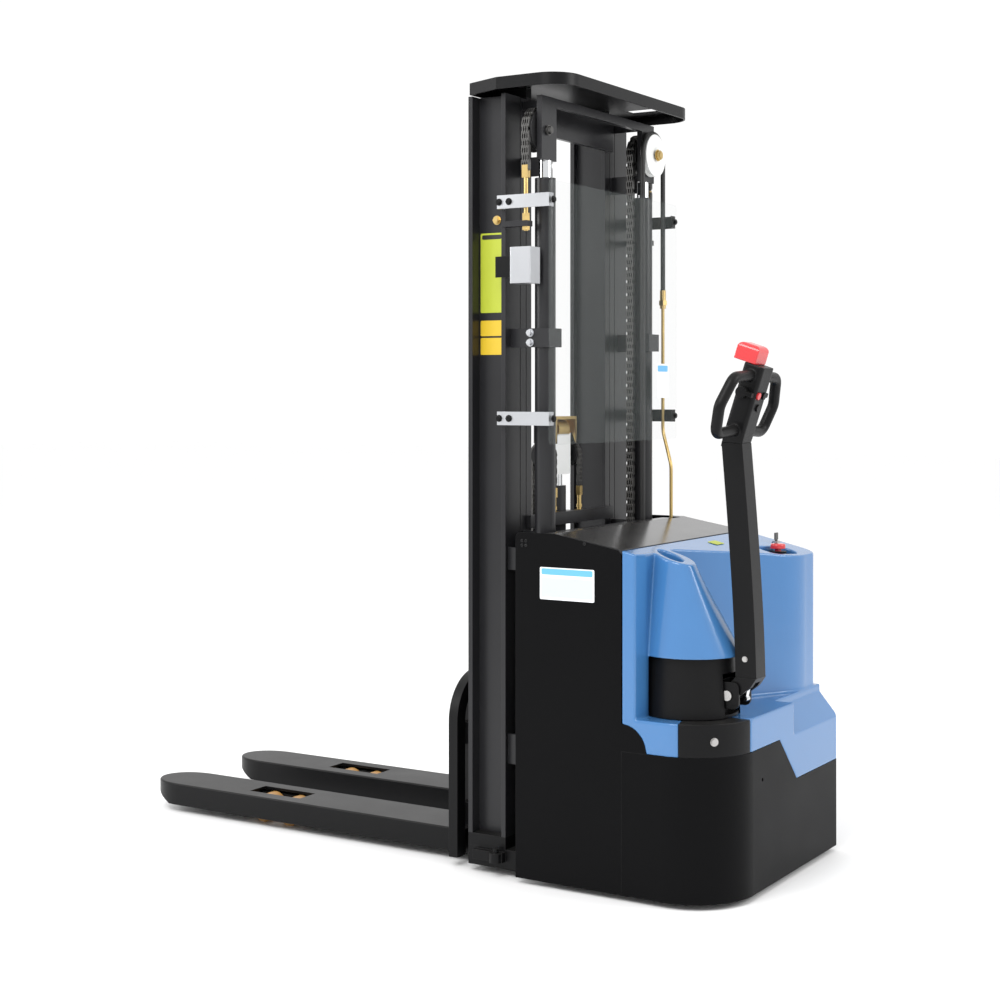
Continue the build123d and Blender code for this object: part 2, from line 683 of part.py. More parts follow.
def chassis_outline(inset):
    """Open plan of the rear chassis from the side panels back, round at the corner under the tiller."""
    near_y = -chassis_half_width + inset
    far_y = chassis_half_width - inset
    rear_x = chassis_rear_x - inset
    with BuildLine() as outline:
        Line((panel_rear_x, near_y), (steer_x, near_y))
        CenterArc((steer_x, steer_y), corner_radius - inset, 270, 90)
        Line((rear_x, steer_y), (rear_x, far_y - 14))
        RadiusArc((rear_x, far_y - 14), (rear_x - 14, far_y), -14)
        Line((rear_x - 14, far_y), (panel_rear_x, far_y))
        Line((panel_rear_x, far_y), (panel_rear_x, near_y))
    return outline


rim_far_z = 260
rim_slope_y = (-36, 80)

with BuildPart() as rim_cut:
    with BuildSketch(Plane.YZ.offset(steer_x + 60)):
        with BuildLine():
            Polyline((rim_slope_y[0], chassis_rim_z), (rim_slope_y[1], rim_far_z), (500, rim_far_z),
                     (500, chassis_rim_z + 2), (rim_slope_y[0], chassis_rim_z + 2), close=True)
        make_face()
    extrude(amount=200)
    block((panel_rear_x - 1, steer_x + 61), (steer_y, 500), (rim_far_z, chassis_rim_z + 2))
    cut_block((panel_rear_x - 2, steer_x + 62), (steer_y - 1, chassis_half_width - 60), (0, 500))

with BuildPart() as chassis_shell:
    for inset, mode in ((0, Mode.ADD), (shell_wall, Mode.SUBTRACT)):
        with BuildSketch(Plane.XY.offset(chassis_bottom_z)):
            add(chassis_outline(inset).line)
            make_face()
        extrude(amount=chassis_rim_z - chassis_bottom_z, mode=mode)
    add(rim_cut.part, mode=Mode.SUBTRACT)
    rod_x(5, (chassis_rear_x, steer_y + 60, 300), 30, Mode.SUBTRACT)

panel_shoulder_x = 500
panel_rear_top_z = 893
cover_slope = 0.229
panel_sweep_r = 70


def side_panel(side):
    """Flat side panel with a level top that falls toward the rear cover."""
    with BuildPart() as panel:
        start = side * (chassis_half_width - panel_thickness) if side > 0 else -chassis_half_width
        with BuildSketch(Plane.XZ.offset(-start - panel_thickness)):
            with BuildLine():
                Polyline((panel_front_x, chassis_bottom_z), (panel_front_x, panel_top_z), (panel_shoulder_x, panel_top_z),
                         (panel_rear_x - 12, panel_rear_top_z), (panel_rear_x, panel_rear_top_z - 14),
                         (panel_rear_x, chassis_rim_z + panel_sweep_r))
                RadiusArc((panel_rear_x, chassis_rim_z + panel_sweep_r),
                          (panel_rear_x + panel_sweep_r, chassis_rim_z), panel_sweep_r)
                Polyline((panel_rear_x + panel_sweep_r, chassis_rim_z), (panel_rear_x, chassis_rim_z),
                         (panel_rear_x, chassis_bottom_z), (panel_front_x, chassis_bottom_z))
            make_face()
        extrude(amount=panel_thickness)
        front_top = panel.edges().filter_by(Axis.Y).sort_by_distance((panel_front_x, start, panel_top_z))[0]
        fillet(front_top, 15)
    return panel


side_panel_left = side_panel(-1)
side_panel_right = side_panel(1)

lid_z = (915, 927)
with BuildPart() as deck_lid:
    lid_y = chassis_half_width - panel_thickness - clearance
    with BuildSketch(Plane.XZ.offset(-lid_y)):
        with BuildLine():
            Polyline((frame_front_x, lid_z[0]), (frame_front_x, lid_z[1]), (panel_shoulder_x, lid_z[1]),
                     (panel_rear_x - clearance, panel_rear_top_z + 1), (panel_rear_x - clearance, panel_rear_top_z - 11),
                     (panel_shoulder_x, lid_z[0]), close=True)
        make_face()
    extrude(amount=2 * lid_y)
    cut_block((frame_front_x - 1, frame_front_x + 34), (300, 352), (lid_z[0] - 1, lid_z[1] + 1))

# ---- Rear cover: body, shelf over the chassis rim, hood over the steering drum ----
hood_base_z = 621
hood_top_z = 885
hood_r = 135
hood_top = (775, -262)
hood_top_half = (80, 42)
hood_turn = -37
cover_wall = 4
recess_floor_z = 836
oval_half = (58, 22)
stop_recess = (862, 236)
stop_recess_turn = 74
stop_recess_length = 124
stop_recess_width = 72
cover_rear_x = 926
shelf_z = (445, 380)


def cover_outline(inset):
    """Plan of the tall part of the cover: near wall, valley, diagonal wall, rounded far corner."""
    near_y = -chassis_half_width + inset
    far_y = chassis_half_width - inset
    rear_x = cover_rear_x - inset
    corner = 50 - inset
    diagonal = [(x - inset, y) for x, y in ((745, -173), (812, -2), (864, 120), (911, 205), (cover_rear_x, 290))]
    with BuildSketch() as plan:
        with BuildLine():
            Polyline((panel_rear_x, far_y), (panel_rear_x, near_y), (735 - inset, near_y), (746 - inset, -340), diagonal[0])
            Spline(*diagonal)
            Line((rear_x, 290), (rear_x, far_y - corner))
            RadiusArc((rear_x, far_y - corner), (rear_x - corner, far_y), -corner)
            Line((rear_x - corner, far_y), (panel_rear_x, far_y))
        make_face()
    return plan


def hood_loft(radius, half_length, half_width):
    """Cone that leans from the steering drum to an oval on the cover's top."""
    with BuildPart() as cone:
        with BuildSketch(Plane.XY.offset(hood_base_z)):
            with Locations(steer_axis):
                Circle(radius)
        with BuildSketch(Plane.XY.offset(hood_top_z)):
            with Locations(Location((*hood_top, 0), (0, 0, hood_turn))):
                Ellipse(half_length, half_width)
        loft()
    return cone


def cover_envelope(inset):
    """Solid that the cover's outer or inner surface bounds."""
    low_z = chassis_rim_z
    with BuildPart() as envelope:
        with BuildSketch(Plane.XY.offset(low_z)):
            add(cover_outline(inset).sketch)
        extrude(amount=600)
        with BuildSketch(Plane.XY.offset(low_z)):
            add(chassis_outline(inset).line)
            make_face()
        extrude(amount=drum_base_z - low_z - 1 - inset)
        with BuildSketch(Plane.XZ.offset(-chassis_half_width - 1)):
            with BuildLine():
                Polyline((cover_rear_x + 4 - inset, shelf_z[0] - inset), (chassis_rear_x + 1, shelf_z[1] - inset),
                         (chassis_rear_x + 1, 500), (cover_rear_x + 4 - inset, 500), close=True)
            make_face()
        extrude(amount=chassis_half_width - 60, mode=Mode.SUBTRACT)
        add(hood_loft(hood_r - inset, hood_top_half[0] - inset, hood_top_half[1] - inset).part)
        with BuildSketch(Plane.XZ.offset(-chassis_half_width - 1)):
            with BuildLine():
                top_z = panel_rear_top_z - inset
                Polyline((panel_rear_x - 1, top_z), (1100, top_z - cover_slope * (1100 - panel_rear_x)), (1100, 1100),
                         (panel_rear_x - 1, 1100), close=True)
            make_face()
        extrude(amount=2 * chassis_half_width + 2, mode=Mode.SUBTRACT)
        cut_block((panel_rear_x - 100, panel_rear_x), (-chassis_half_width, chassis_half_width), (low_z, 1000))
    return envelope


pocket_r = hood_r - cover_wall

with BuildPart() as cover_cavity:
    add(cover_envelope(cover_wall).part)
    rod_z(pocket_r + cover_wall, (steer_x, steer_y, 540), 2 * (hood_base_z - 540), Mode.SUBTRACT)
    with BuildSketch(Plane.XY.offset(recess_floor_z - cover_wall)):
        with Locations(Location((*hood_top, 0), (0, 0, hood_turn))):
            Ellipse(oval_half[0] + cover_wall, oval_half[1] + cover_wall)
        with Locations(Location((*stop_recess, 0), (0, 0, stop_recess_turn))):
            SlotOverall(stop_recess_length + 2 * cover_wall, stop_recess_width + 2 * cover_wall)
    extrude(amount=200, mode=Mode.SUBTRACT)
    inner_y = chassis_half_width - cover_wall
    block((panel_rear_x - 5, panel_rear_x + cover_wall + 1), (-inner_y, inner_y), (chassis_rim_z, 868))

with BuildPart() as cover_apron:
    for inset, mode in ((0, Mode.ADD), (shell_wall, Mode.SUBTRACT)):
        with BuildSketch(Plane.XY.offset(rim_far_z)):
            add(chassis_outline(inset).line)
            make_face()
        extrude(amount=chassis_rim_z - rim_far_z, mode=mode)
    add(rim_cut.part, mode=Mode.INTERSECT)

corner_angles = (-75, -5)
key_centre = (822, 322)
key_barrel_r = 11


def corner_sector(radius, z_range, mode=Mode.ADD):
    """Sector of a disc about the steering axis, between the ends of the black corner cover."""
    with BuildSketch(Plane.XY.offset(z_range[0])) as sector:
        with BuildLine():
            first = PolarLine((steer_x, steer_y), radius, corner_angles[0])
            arc = CenterArc((steer_x, steer_y), radius, corner_angles[0], corner_angles[1] - corner_angles[0])
            Polyline(arc @ 1, first @ 0)
        make_face()
    extrude(sector.sketch, amount=z_range[1] - z_range[0], mode=mode)


motor_hole_r = 100
corner_cover_z = (chassis_rim_z, drum_base_z - 1)

with BuildPart() as corner_cover:
    corner_sector(corner_radius, corner_cover_z)
    corner_sector(corner_radius - shell_wall, (corner_cover_z[0] - 1, corner_cover_z[1] - shell_wall), Mode.SUBTRACT)
    rod_z(motor_hole_r, (steer_x, steer_y, corner_cover_z[1]), 40, Mode.SUBTRACT)

with BuildPart() as rear_cover:
    add(cover_envelope(0).part)
    add(cover_apron.part)
    add(cover_cavity.part, mode=Mode.SUBTRACT)
    rod_z(pocket_r, (steer_x, steer_y, (corner_cover_z[1] + hood_base_z) / 2), hood_base_z - corner_cover_z[1],
          Mode.SUBTRACT)
    rod_z(motor_hole_r, (steer_x, steer_y, corner_cover_z[1]), 40, Mode.SUBTRACT)
    corner_sector(corner_radius + 1, (corner_cover_z[0] - 1, corner_cover_z[1]), Mode.SUBTRACT)
    with BuildSketch(Plane.XY.offset(recess_floor_z)):
        with Locations(Location((*hood_top, 0), (0, 0, hood_turn))):
            Ellipse(*oval_half)
        with Locations(Location((*stop_recess, 0), (0, 0, stop_recess_turn))):
            SlotOverall(stop_recess_length, stop_recess_width)
    extrude(amount=200, mode=Mode.SUBTRACT)
    rod_z(key_barrel_r + fit, (*key_centre, recess_floor_z), 100, Mode.SUBTRACT)
    for side in left_right:
        add(side_panel(side).part, mode=Mode.SUBTRACT)

corner_bolt_angle = radians(-45)
with BuildPart() as corner_bolt:
    bolt_normal = (cos(corner_bolt_angle), sin(corner_bolt_angle), 0)
    bolt_centre = (steer_x + corner_radius * bolt_normal[0], steer_y + corner_radius * bolt_normal[1], 422)
    with BuildSketch(Plane(origin=bolt_centre, z_dir=bolt_normal)):
        Circle(9)
    extrude(amount=4)

screw_spots = ((402, 905), (402, 893), (414, 905), (414, 893), (590, 905))
with BuildPart() as panel_screws:
    for x, z in screw_spots:
        for side in left_right:
            rod_y(3.5, (x, side * (chassis_half_width + 1), z), 2)

# ---- Emergency stop and key switch ----
stop_centre = (856, 254)
stop_cap_r = 21

with BuildPart() as estop_base:
    rod_z(24, (*stop_centre, recess_floor_z + 7), 14)
    rod_z(9 + fit, (*stop_centre, recess_floor_z + 7), 16, Mode.SUBTRACT)

with BuildPart() as estop_button:
    rod_z(9, (*stop_centre, recess_floor_z + 14.5), 15)
    rod_z(stop_cap_r, (*stop_centre, recess_floor_z + 28), 14)
    fillet(estop_button.faces().sort_by(Axis.Z)[-1].edges(), 5)

key_seat_z = panel_rear_top_z - cover_slope * (key_centre[0] - panel_rear_x)
with BuildPart() as key_barrel:
    rod_z(key_barrel_r, (*key_centre, key_seat_z + 1), 14)
    rod_z(4 + fit, (*key_centre, key_seat_z + 4), 12, Mode.SUBTRACT)

with BuildPart() as key_switch:
    rod_z(4, (*key_centre, key_seat_z + 6), 10)
    block((key_centre[0] - 2, key_centre[0] + 2), (key_centre[1] - 10, key_centre[1] + 10),
          (key_seat_z + 11, key_seat_z + 31))

# ---- Inside the chassis ----
battery_x = (frame_front_x + frame_plate + 6, steer_x - drum_r[0] - 12)
battery_y = (-300, 300)
battery_z = (390, 870)

with BuildPart() as battery:
    block(battery_x, battery_y, battery_z)
    fillet(battery.edges().filter_by(Axis.Z), 8)
    block((battery_x[0] + 60, battery_x[0] + 90), (-200, -170), (battery_z[1], battery_z[1] + 18))
    block((battery_x[0] + 60, battery_x[0] + 90), (170, 200), (battery_z[1], battery_z[1] + 18))

with BuildPart() as battery_tray:
    tray_x = (frame_front_x + frame_plate, panel_rear_x)
    block(tray_x, (-inner_y + 2, inner_y - 2), (battery_z[0] - 10, battery_z[0]))
    for side in left_right:
        block(tray_x, side_range(side, inner_y - 12, inner_y - 2), (turntable_z[0], battery_z[0] - 10))

unit_x = (520, 660)
unit_y = (60, 340)
with BuildPart() as hydraulic_unit:
    block(unit_x, unit_y, (170, 290))
    fillet(hydraulic_unit.edges().filter_by(Axis.Z), 12)
    rod_y(48, ((unit_x[0] + unit_x[1]) / 2, unit_y[0] - 90, 230), 180)
    block((frame_front_x + frame_plate, unit_x[0]), (unit_y[0] + 60, unit_y[1] - 60), (190, 270))

with BuildPart() as motor_controller:
    block((panel_rear_x + 40, panel_rear_x + 170), (120, 330), (turntable_z[1], turntable_z[1] + 60))
    for y in range(130, 321, 20):
        block((panel_rear_x + 40, panel_rear_x + 170), (y, y + 6), (turntable_z[1] + 60, turntable_z[1] + 85))

# ---- Drive unit and steering ----
wheel_z = drive_wheel_d / 2
half_drive_wheel = drive_wheel_width / 2
gearbox_y = (steer_y + half_drive_wheel + 5, steer_y + half_drive_wheel + 62)
neck_z = (turntable_z[0] - 1, turntable_z[1] + 6)

with BuildPart() as drive_gearbox:
    block((steer_x - 50, steer_x + 50), gearbox_y, (wheel_z - 55, turntable_z[0] - 21))
    fillet(drive_gearbox.edges().filter_by(Axis.Y), 30)
    rod_z(104, (steer_x, steer_y, turntable_z[0] - 11), 20)
    rod_z(neck_r, (steer_x, steer_y, sum(neck_z) / 2), neck_z[1] - neck_z[0])
    axle_y = (steer_y - half_drive_wheel - 8, gearbox_y[0])
    rod_y(20, (steer_x, sum(axle_y) / 2, wheel_z), axle_y[1] - axle_y[0])

with BuildPart() as drive_wheel:
    rod_y(wheel_z - 22, (steer_x, steer_y, wheel_z), drive_wheel_width - 10)
    rod_y(20 + fit, (steer_x, steer_y, wheel_z), drive_wheel_width, Mode.SUBTRACT)
    for turn in range(0, 360, 60):
        spot = (steer_x + 58 * cos(radians(turn)), steer_y, wheel_z + 58 * sin(radians(turn)))
        rod_y(9, spot, drive_wheel_width, Mode.SUBTRACT)

with BuildPart() as drive_tyre:
    rod_y(wheel_z, (steer_x, steer_y, wheel_z), drive_wheel_width)
    rod_y(wheel_z - 22, (steer_x, steer_y, wheel_z), drive_wheel_width + 2, Mode.SUBTRACT)
    chamfer(drive_tyre.edges().filter_by(GeomType.CIRCLE).group_by(SortBy.RADIUS)[-1], 5)

motor_z = (neck_z[1], 610)
motor_r = 80
with BuildPart() as drive_motor:
    rod_z(motor_r, (steer_x, steer_y, sum(motor_z) / 2), motor_z[1] - motor_z[0])
    fillet(drive_motor.faces().sort_by(Axis.Z)[-1].edges(), 8)

drum_top_z = 640
drum_wall = 4
ear_gap = 66
ear_plate = 7
ring_z = (drum_base_z + 1, drum_base_z + 8)

with BuildPart() as steering_drum:
    for inset, top_z, mode in ((0, drum_top_z, Mode.ADD), (drum_wall, drum_top_z - drum_wall, Mode.SUBTRACT)):
        with BuildSketch(Plane.XY.offset(ring_z[0])):
            with Locations(steer_axis):
                Circle(drum_r[0] - inset)
        with BuildSketch(Plane.XY.offset(top_z)):
            with Locations(steer_axis):
                Circle(drum_r[1] - inset)
        loft(mode=mode)
    ear_slot = ear_gap / 2 + ear_plate + 7
    cut_block((steer_x + 82, steer_x + 140), (steer_y - ear_slot, steer_y + ear_slot), (ring_z[0] - 1, 580))

ear_x = (steer_x + 88, 961)
ear_z = (492, 560)
upright = 7
with BuildPart() as tiller_bracket:
    ring_r = drum_r[0] - drum_wall - 2 * clearance
    rod_z(ring_r, (steer_x, steer_y, sum(ring_z) / 2), ring_z[1] - ring_z[0])
    rod_z(motor_r, (steer_x, steer_y, sum(ring_z) / 2), ring_z[1] - ring_z[0] + 2, Mode.SUBTRACT)
    ear_half = ear_gap / 2 + ear_plate
    block((ear_x[0], ear_x[0] + upright), (steer_y - ear_half, steer_y + ear_half), (ring_z[1], ear_z[1]))
    with BuildSketch(Plane.XZ.offset(-steer_y - ear_half)):
        with BuildLine():
            FilletPolyline((ear_x[0] + upright, ear_z[0]), (ear_x[1], ear_z[0]), (ear_x[1], ear_z[1]),
                           (ear_x[0] + upright, ear_z[1]), radius=16)
            Line((ear_x[0] + upright, ear_z[1]), (ear_x[0] + upright, ear_z[0]))
        make_face()
    extrude(amount=2 * ear_half)
    gap_y = (steer_y - ear_gap / 2, steer_y + ear_gap / 2)
    cut_block((ear_x[0] + upright, ear_x[1] + 1), gap_y, (ear_z[0] - 1, ear_z[1] + 1))
    rod_y(10 + fit, (pivot_x, steer_y, pivot_z), 200, Mode.SUBTRACT)

with BuildPart() as tiller_pivot_pin:
    rod_y(10, (pivot_x, steer_y, pivot_z), 2 * ear_half + 2)
    for side in left_right:
        rod_y(13, (pivot_x, steer_y + side * (ear_half + 3), pivot_z), 4)

# ---- Tiller: yoke, arm, gas spring, head with two loops, and its controls ----
yoke_half = ear_gap / 2 - 1
arm_depth, arm_width = tiller_section
arm_line = ((976, 572), (974, 640), (968, 765), (937, 1166))
arm_wall = 4

with BuildPart() as tiller_yoke:
    with BuildSketch(Plane.XZ.offset(-steer_y - yoke_half)):
        with BuildLine():
            Polyline((918, 540), (arm_line[0][0] - arm_depth / 2, arm_line[0][1]),
                     (arm_line[0][0] + arm_depth / 2, arm_line[0][1]), (988, 548), (946, 516), (pivot_x, 508), (914, 524),
                     close=True)
        make_face()
    extrude(amount=2 * yoke_half)
    rod_y(17, (pivot_x, steer_y, pivot_z), 2 * yoke_half)
    rod_y(10 + fit, (pivot_x, steer_y, pivot_z), 100, Mode.SUBTRACT)
    cut_block((944, 1010), (steer_y - 16, steer_y + 16), (500, 560))

with BuildPart() as tiller_arm:
    for inset, mode in ((0, Mode.ADD), (arm_wall, Mode.SUBTRACT)):
        half_depth = arm_depth / 2 - inset
        front = [(x - half_depth, z) for x, z in arm_line]
        rear = [(x + half_depth, z) for x, z in arm_line]
        with BuildSketch(Plane.XZ.offset(-steer_y - arm_width / 2 + inset)):
            with BuildLine():
                Spline(*front)
                Line(front[-1], rear[-1])
                Spline(*rear)
                Line(rear[0], front[0])
            make_face()
        extrude(amount=arm_width - 2 * inset, mode=mode)

with BuildPart() as gas_spring:
    rod_y(7, (964, steer_y, 516), 20)
    with BuildSketch(Plane(origin=(964, steer_y, 516), z_dir=(10, 0, 42))):
        Circle(5)
    extrude(amount=46)

head_tilt = 18
head_centre = (967, steer_y, 1262)
head_up = (sin(radians(head_tilt)), 0, cos(radians(head_tilt)))
head_back = (cos(radians(head_tilt)), 0, -sin(radians(head_tilt)))
head_plane = Plane(origin=head_centre, x_dir=(0, 1, 0), z_dir=head_back)
head_low = -118
head_high = 108
head_depth = 56
head_half = 37
bar_d = 29
loop_outer = 169
loop_half = 74


def head_point(across, along, back):
    """Point in the tilted frame of the tiller head."""
    return tuple(c + along * u + back * b + (across if i == 1 else 0)
                 for i, (c, u, b) in enumerate(zip(head_centre, head_up, head_back)))


with BuildPart() as tiller_head:
    with BuildSketch(head_plane.offset(-head_depth / 2)):
        with BuildLine():
            Polyline((-26, head_low), (-head_half, -40), (-head_half, head_high), (head_half, head_high),
                     (head_half, -40), (26, head_low), close=True)
        make_face()
    extrude(amount=head_depth)
    fillet(tiller_head.edges().filter_by(GeomType.LINE).group_by(SortBy.LENGTH)[-1], 10)

with BuildPart() as tiller_handles:
    for side in left_right:
        loop = [head_point(side * across, along, back) for across, along, back in
                ((head_half - 6, -loop_half + 8, 0), (loop_outer - 26, -loop_half, 0), (loop_outer, 0, 0),
                 (loop_outer - 36, loop_half, 0), (head_half - 6, loop_half + 6, 0))]
        with BuildLine() as bar_path:
            FilletPolyline(*loop, radius=30)
        with BuildSketch(Plane(origin=loop[0], z_dir=bar_path.line % 0)):
            Circle(bar_d / 2)
        sweep(path=bar_path.line)
    add(tiller_head.part, mode=Mode.SUBTRACT)

belly_size = (66, 62, 46)
belly_back = -29
belly_plane = Plane(origin=head_point(0, head_high + 0.5 + belly_size[2] / 2, belly_back), x_dir=head_back, z_dir=head_up)
with BuildPart() as belly_button:
    with Locations(belly_plane):
        Box(belly_size[1], belly_size[0], belly_size[2])
    fillet(belly_button.faces().sort_by(Axis(head_centre, head_up))[-1].edges(), 14)

throttle_along = 34
throttle_at = head_point(0, throttle_along, -6)
with BuildPart() as throttle:
    for side in left_right:
        hub_y = steer_y + side * (head_half + 8 + clearance)
        rod_y(15, (throttle_at[0], hub_y, throttle_at[2]), 16)
        with Locations(Plane(origin=head_point(side * (head_half + 8 + clearance), throttle_along, 12), x_dir=head_back,
                             z_dir=head_up)):
            Box(26, 16, 12)
    rod_y(4, (throttle_at[0], steer_y, throttle_at[2]), 2 * head_half + 4)

with BuildPart() as throttle_bore:
    rod_y(4 + fit, (throttle_at[0], steer_y, throttle_at[2]), 2 * head_half + 10)

button_spots = {"lift_button": (-17, 34), "lower_button": (17, 34), "horn_button": (0, 2)}
button_travel = 3


def head_button(across, along):
    """Round push button that stands out of the head's operator face."""
    with BuildPart() as button:
        with BuildSketch(Plane(origin=head_point(across, along, head_depth / 2 - 5), x_dir=(0, 1, 0), z_dir=head_back)):
            Circle(9)
        extrude(amount=5 + button_travel + 1)
    return button


with BuildPart() as button_wells:
    for across, along in button_spots.values():
        well = Plane(origin=head_point(across, along, head_depth / 2 - 5 - button_travel - 1), x_dir=(0, 1, 0),
                     z_dir=head_back)
        with BuildSketch(well):
            Circle(9 + clearance)
        extrude(amount=40)

with BuildPart() as head_shell:
    add(tiller_head.part)
    add(throttle_bore.part, mode=Mode.SUBTRACT)
    add(button_wells.part, mode=Mode.SUBTRACT)
    add(tiller_arm.part, mode=Mode.SUBTRACT)
    cut_block((arm_line[-1][0] - arm_depth / 2, arm_line[-1][0] + arm_depth / 2),
              (steer_y - arm_width / 2, steer_y + arm_width / 2), (1000, arm_line[-1][1]))

lift_button, lower_button, horn_button = (head_button(*spot) for spot in button_spots.values())

# ---- Caster ----
caster_x, caster_y = caster_axis
caster_trail = 30
caster_wheel_z = caster_wheel_d / 2
caster_plate_z = turntable_z[0] - 212

with BuildPart() as caster_bracket:
    block((caster_x - 60, caster_x + 60), (caster_y - 60, caster_y + 60), (caster_plate_z, caster_plate_z + 10))
    for side in left_right:
        block((caster_x - 60, caster_x + 60), (caster_y + side * 57 - 3, caster_y + side * 57 + 3),
              (caster_plate_z + 10, turntable_z[0]))

with BuildPart() as caster_fork:
    rod_z(38, (caster_x, caster_y, caster_plate_z - 5 - clearance), 10)
    fork_half = caster_wheel_width / 2 + 3
    for side in left_right:
        block((caster_x - 35, caster_x + caster_trail + 14),
              side_range(1, caster_y + side * (fork_half + 2.5) - 2.5, caster_y + side * (fork_half + 2.5) + 2.5),
              (caster_wheel_z - 16, caster_plate_z - 10 - clearance))
    block((caster_x - 35, caster_x + 35), (caster_y - fork_half, caster_y + fork_half),
          (caster_plate_z - 16 - clearance, caster_plate_z - 10 - clearance))
    rod_y(6, (caster_x + caster_trail, caster_y, caster_wheel_z), 2 * fork_half + 16)

with BuildPart() as caster_wheel:
    rod_y(caster_wheel_z, (caster_x + caster_trail, caster_y, caster_wheel_z), caster_wheel_width)
    rod_y(6 + fit, (caster_x + caster_trail, caster_y, caster_wheel_z), caster_wheel_width + 2, Mode.SUBTRACT)
    chamfer(caster_wheel.edges().filter_by(GeomType.CIRCLE).group_by(SortBy.RADIUS)[-1], 4)



def weldment(*builders):
    """One part fused from pieces that are welded together."""
    with BuildPart() as joined:
        for builder in builders:
            add(builder.part)
    return joined.part


def group(*builders):
    """Pieces of one node that stay separate solids."""
    return Compound(children=[builder.part for builder in builders])


# ---- Label and write every piece ----
pieces = {
    "base_legs": group(legs, base_cross, mast_pads, mast_feet, roller_axles),
    "load_roller_front_left": load_roller_front_left.part,
    "load_roller_rear_left": load_roller_rear_left.part,
    "load_roller_front_right": load_roller_front_right.part,
    "load_roller_rear_right": load_roller_rear_right.part,
    "fork_left": fork_left.part,
    "fork_right": fork_right.part,
    "backrest_hoop": backrest_hoop.part,
    "carriage_frame": group(carriage_bars, carriage_sides, chain_bar, carriage_rollers, carriage_chain_clevis),
    "outer_mast": group(outer_rails, outer_beams, outer_arms, anchor_brackets),
    "middle_mast": group(middle_rails, middle_beams, middle_arms, middle_heads),
    "middle_mast_rollers": middle_rollers.part,
    "inner_mast": group(inner_rails, inner_crossbeams),
    "inner_mast_rollers": inner_rollers.part,
    "lift_cylinders": group(lift_cylinders, cylinder_clamps),
    "lift_rods": lift_rods.part,
    "chain_sheave_left": chain_sheave_left.part,
    "chain_sheave_right": chain_sheave_right.part,
    "hose_pulley": hose_pulley.part,
    "sheave_axles": sheave_axles.part,
    "side_chains": group(side_chain_left, side_chain_right),
    "side_chain_anchors": side_chain_anchors.part,
    "lift_hose": lift_hose.part,
    "hydraulic_pipe": group(hydraulic_pipe, hose_fitting),
    "guard_screen": guard_screen.part,
    "guard_brackets": group(guard_bracket_left, guard_bracket_right),
    "limit_switch_box": limit_switch_box.part,
    "top_plate": top_plate.part,
    "free_lift_cylinder": free_lift_cylinder.part,
    "free_lift_rod": free_lift_rod.part,
    "crosshead": group(crosshead, crosshead_guide, free_lift_wheels),
    "free_lift_chains": free_lift_chains.part,
    "free_lift_anchors": free_lift_anchors.part,
    "chassis_frame": group(front_plate, frame_sides, frame_tabs, turntable, battery_tray, caster_bracket),
    "chassis_shell": chassis_shell.part,
    "side_panels": group(side_panel_left, side_panel_right),
    "deck_lid": deck_lid.part,
    "corner_cover": corner_cover.part,
    "rear_cover": rear_cover.part,
    "fasteners": group(guard_bolts, panel_screws, corner_bolt),
    "estop_button": estop_button.part,
    "key_switch": key_switch.part,
    "switch_bodies": group(estop_base, key_barrel),
    "battery": battery.part,
    "hydraulic_unit": group(hydraulic_unit, motor_controller),
    "drive_gearbox": drive_gearbox.part,
    "drive_motor": drive_motor.part,
    "drive_wheel": drive_wheel.part,
    "drive_tyre": drive_tyre.part,
    "steering_drum": steering_drum.part,
    "tiller_bracket": group(tiller_bracket, tiller_pivot_pin),
    "tiller_arm": group(tiller_arm, tiller_yoke, gas_spring),
    "tiller_head": weldment(head_shell, tiller_handles),
    "belly_button": belly_button.part,
    "throttle": throttle.part,
    "lift_button": lift_button.part,
    "lower_button": lower_button.part,
    "horn_button": horn_button.part,
    "caster_fork": caster_fork.part,
    "caster_wheel": caster_wheel.part,
}

os.makedirs("parts", exist_ok=True)
for name, part in pieces.items():
    part.label = name
    export_step(part, f"parts/{name}.step")
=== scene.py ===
import json
from math import cos, pi, radians, sin

import bmesh
import bpy
from bpy.props import FloatProperty, FloatVectorProperty, IntProperty, PointerProperty
from bpy.types import Operator, Panel, PropertyGroup
from mathutils import Matrix, Vector


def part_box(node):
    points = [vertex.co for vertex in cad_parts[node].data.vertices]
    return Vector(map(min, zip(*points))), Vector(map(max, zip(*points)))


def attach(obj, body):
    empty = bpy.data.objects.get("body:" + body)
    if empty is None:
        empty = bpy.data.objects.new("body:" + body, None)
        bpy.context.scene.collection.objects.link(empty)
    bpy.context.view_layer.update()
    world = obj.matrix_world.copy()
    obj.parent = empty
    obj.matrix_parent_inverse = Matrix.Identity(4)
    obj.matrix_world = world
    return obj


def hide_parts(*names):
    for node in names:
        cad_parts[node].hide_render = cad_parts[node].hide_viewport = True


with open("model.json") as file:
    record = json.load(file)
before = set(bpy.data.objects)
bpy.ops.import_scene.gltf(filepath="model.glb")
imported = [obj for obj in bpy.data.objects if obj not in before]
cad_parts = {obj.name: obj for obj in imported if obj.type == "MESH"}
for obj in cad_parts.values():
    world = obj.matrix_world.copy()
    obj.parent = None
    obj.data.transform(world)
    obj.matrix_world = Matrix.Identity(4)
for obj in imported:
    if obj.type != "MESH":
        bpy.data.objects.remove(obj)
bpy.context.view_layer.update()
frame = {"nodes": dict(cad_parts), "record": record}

bl_info = {
    "name": "Pedestrian Stacker",
    "version": (1, 0, 0),
    "blender": (4, 5, 0),
    "location": "View3D > Sidebar > Stacker",
    "description": "Finishes and detail pieces for a pedestrian stacker around its packed frame",
    "category": "Object",
}

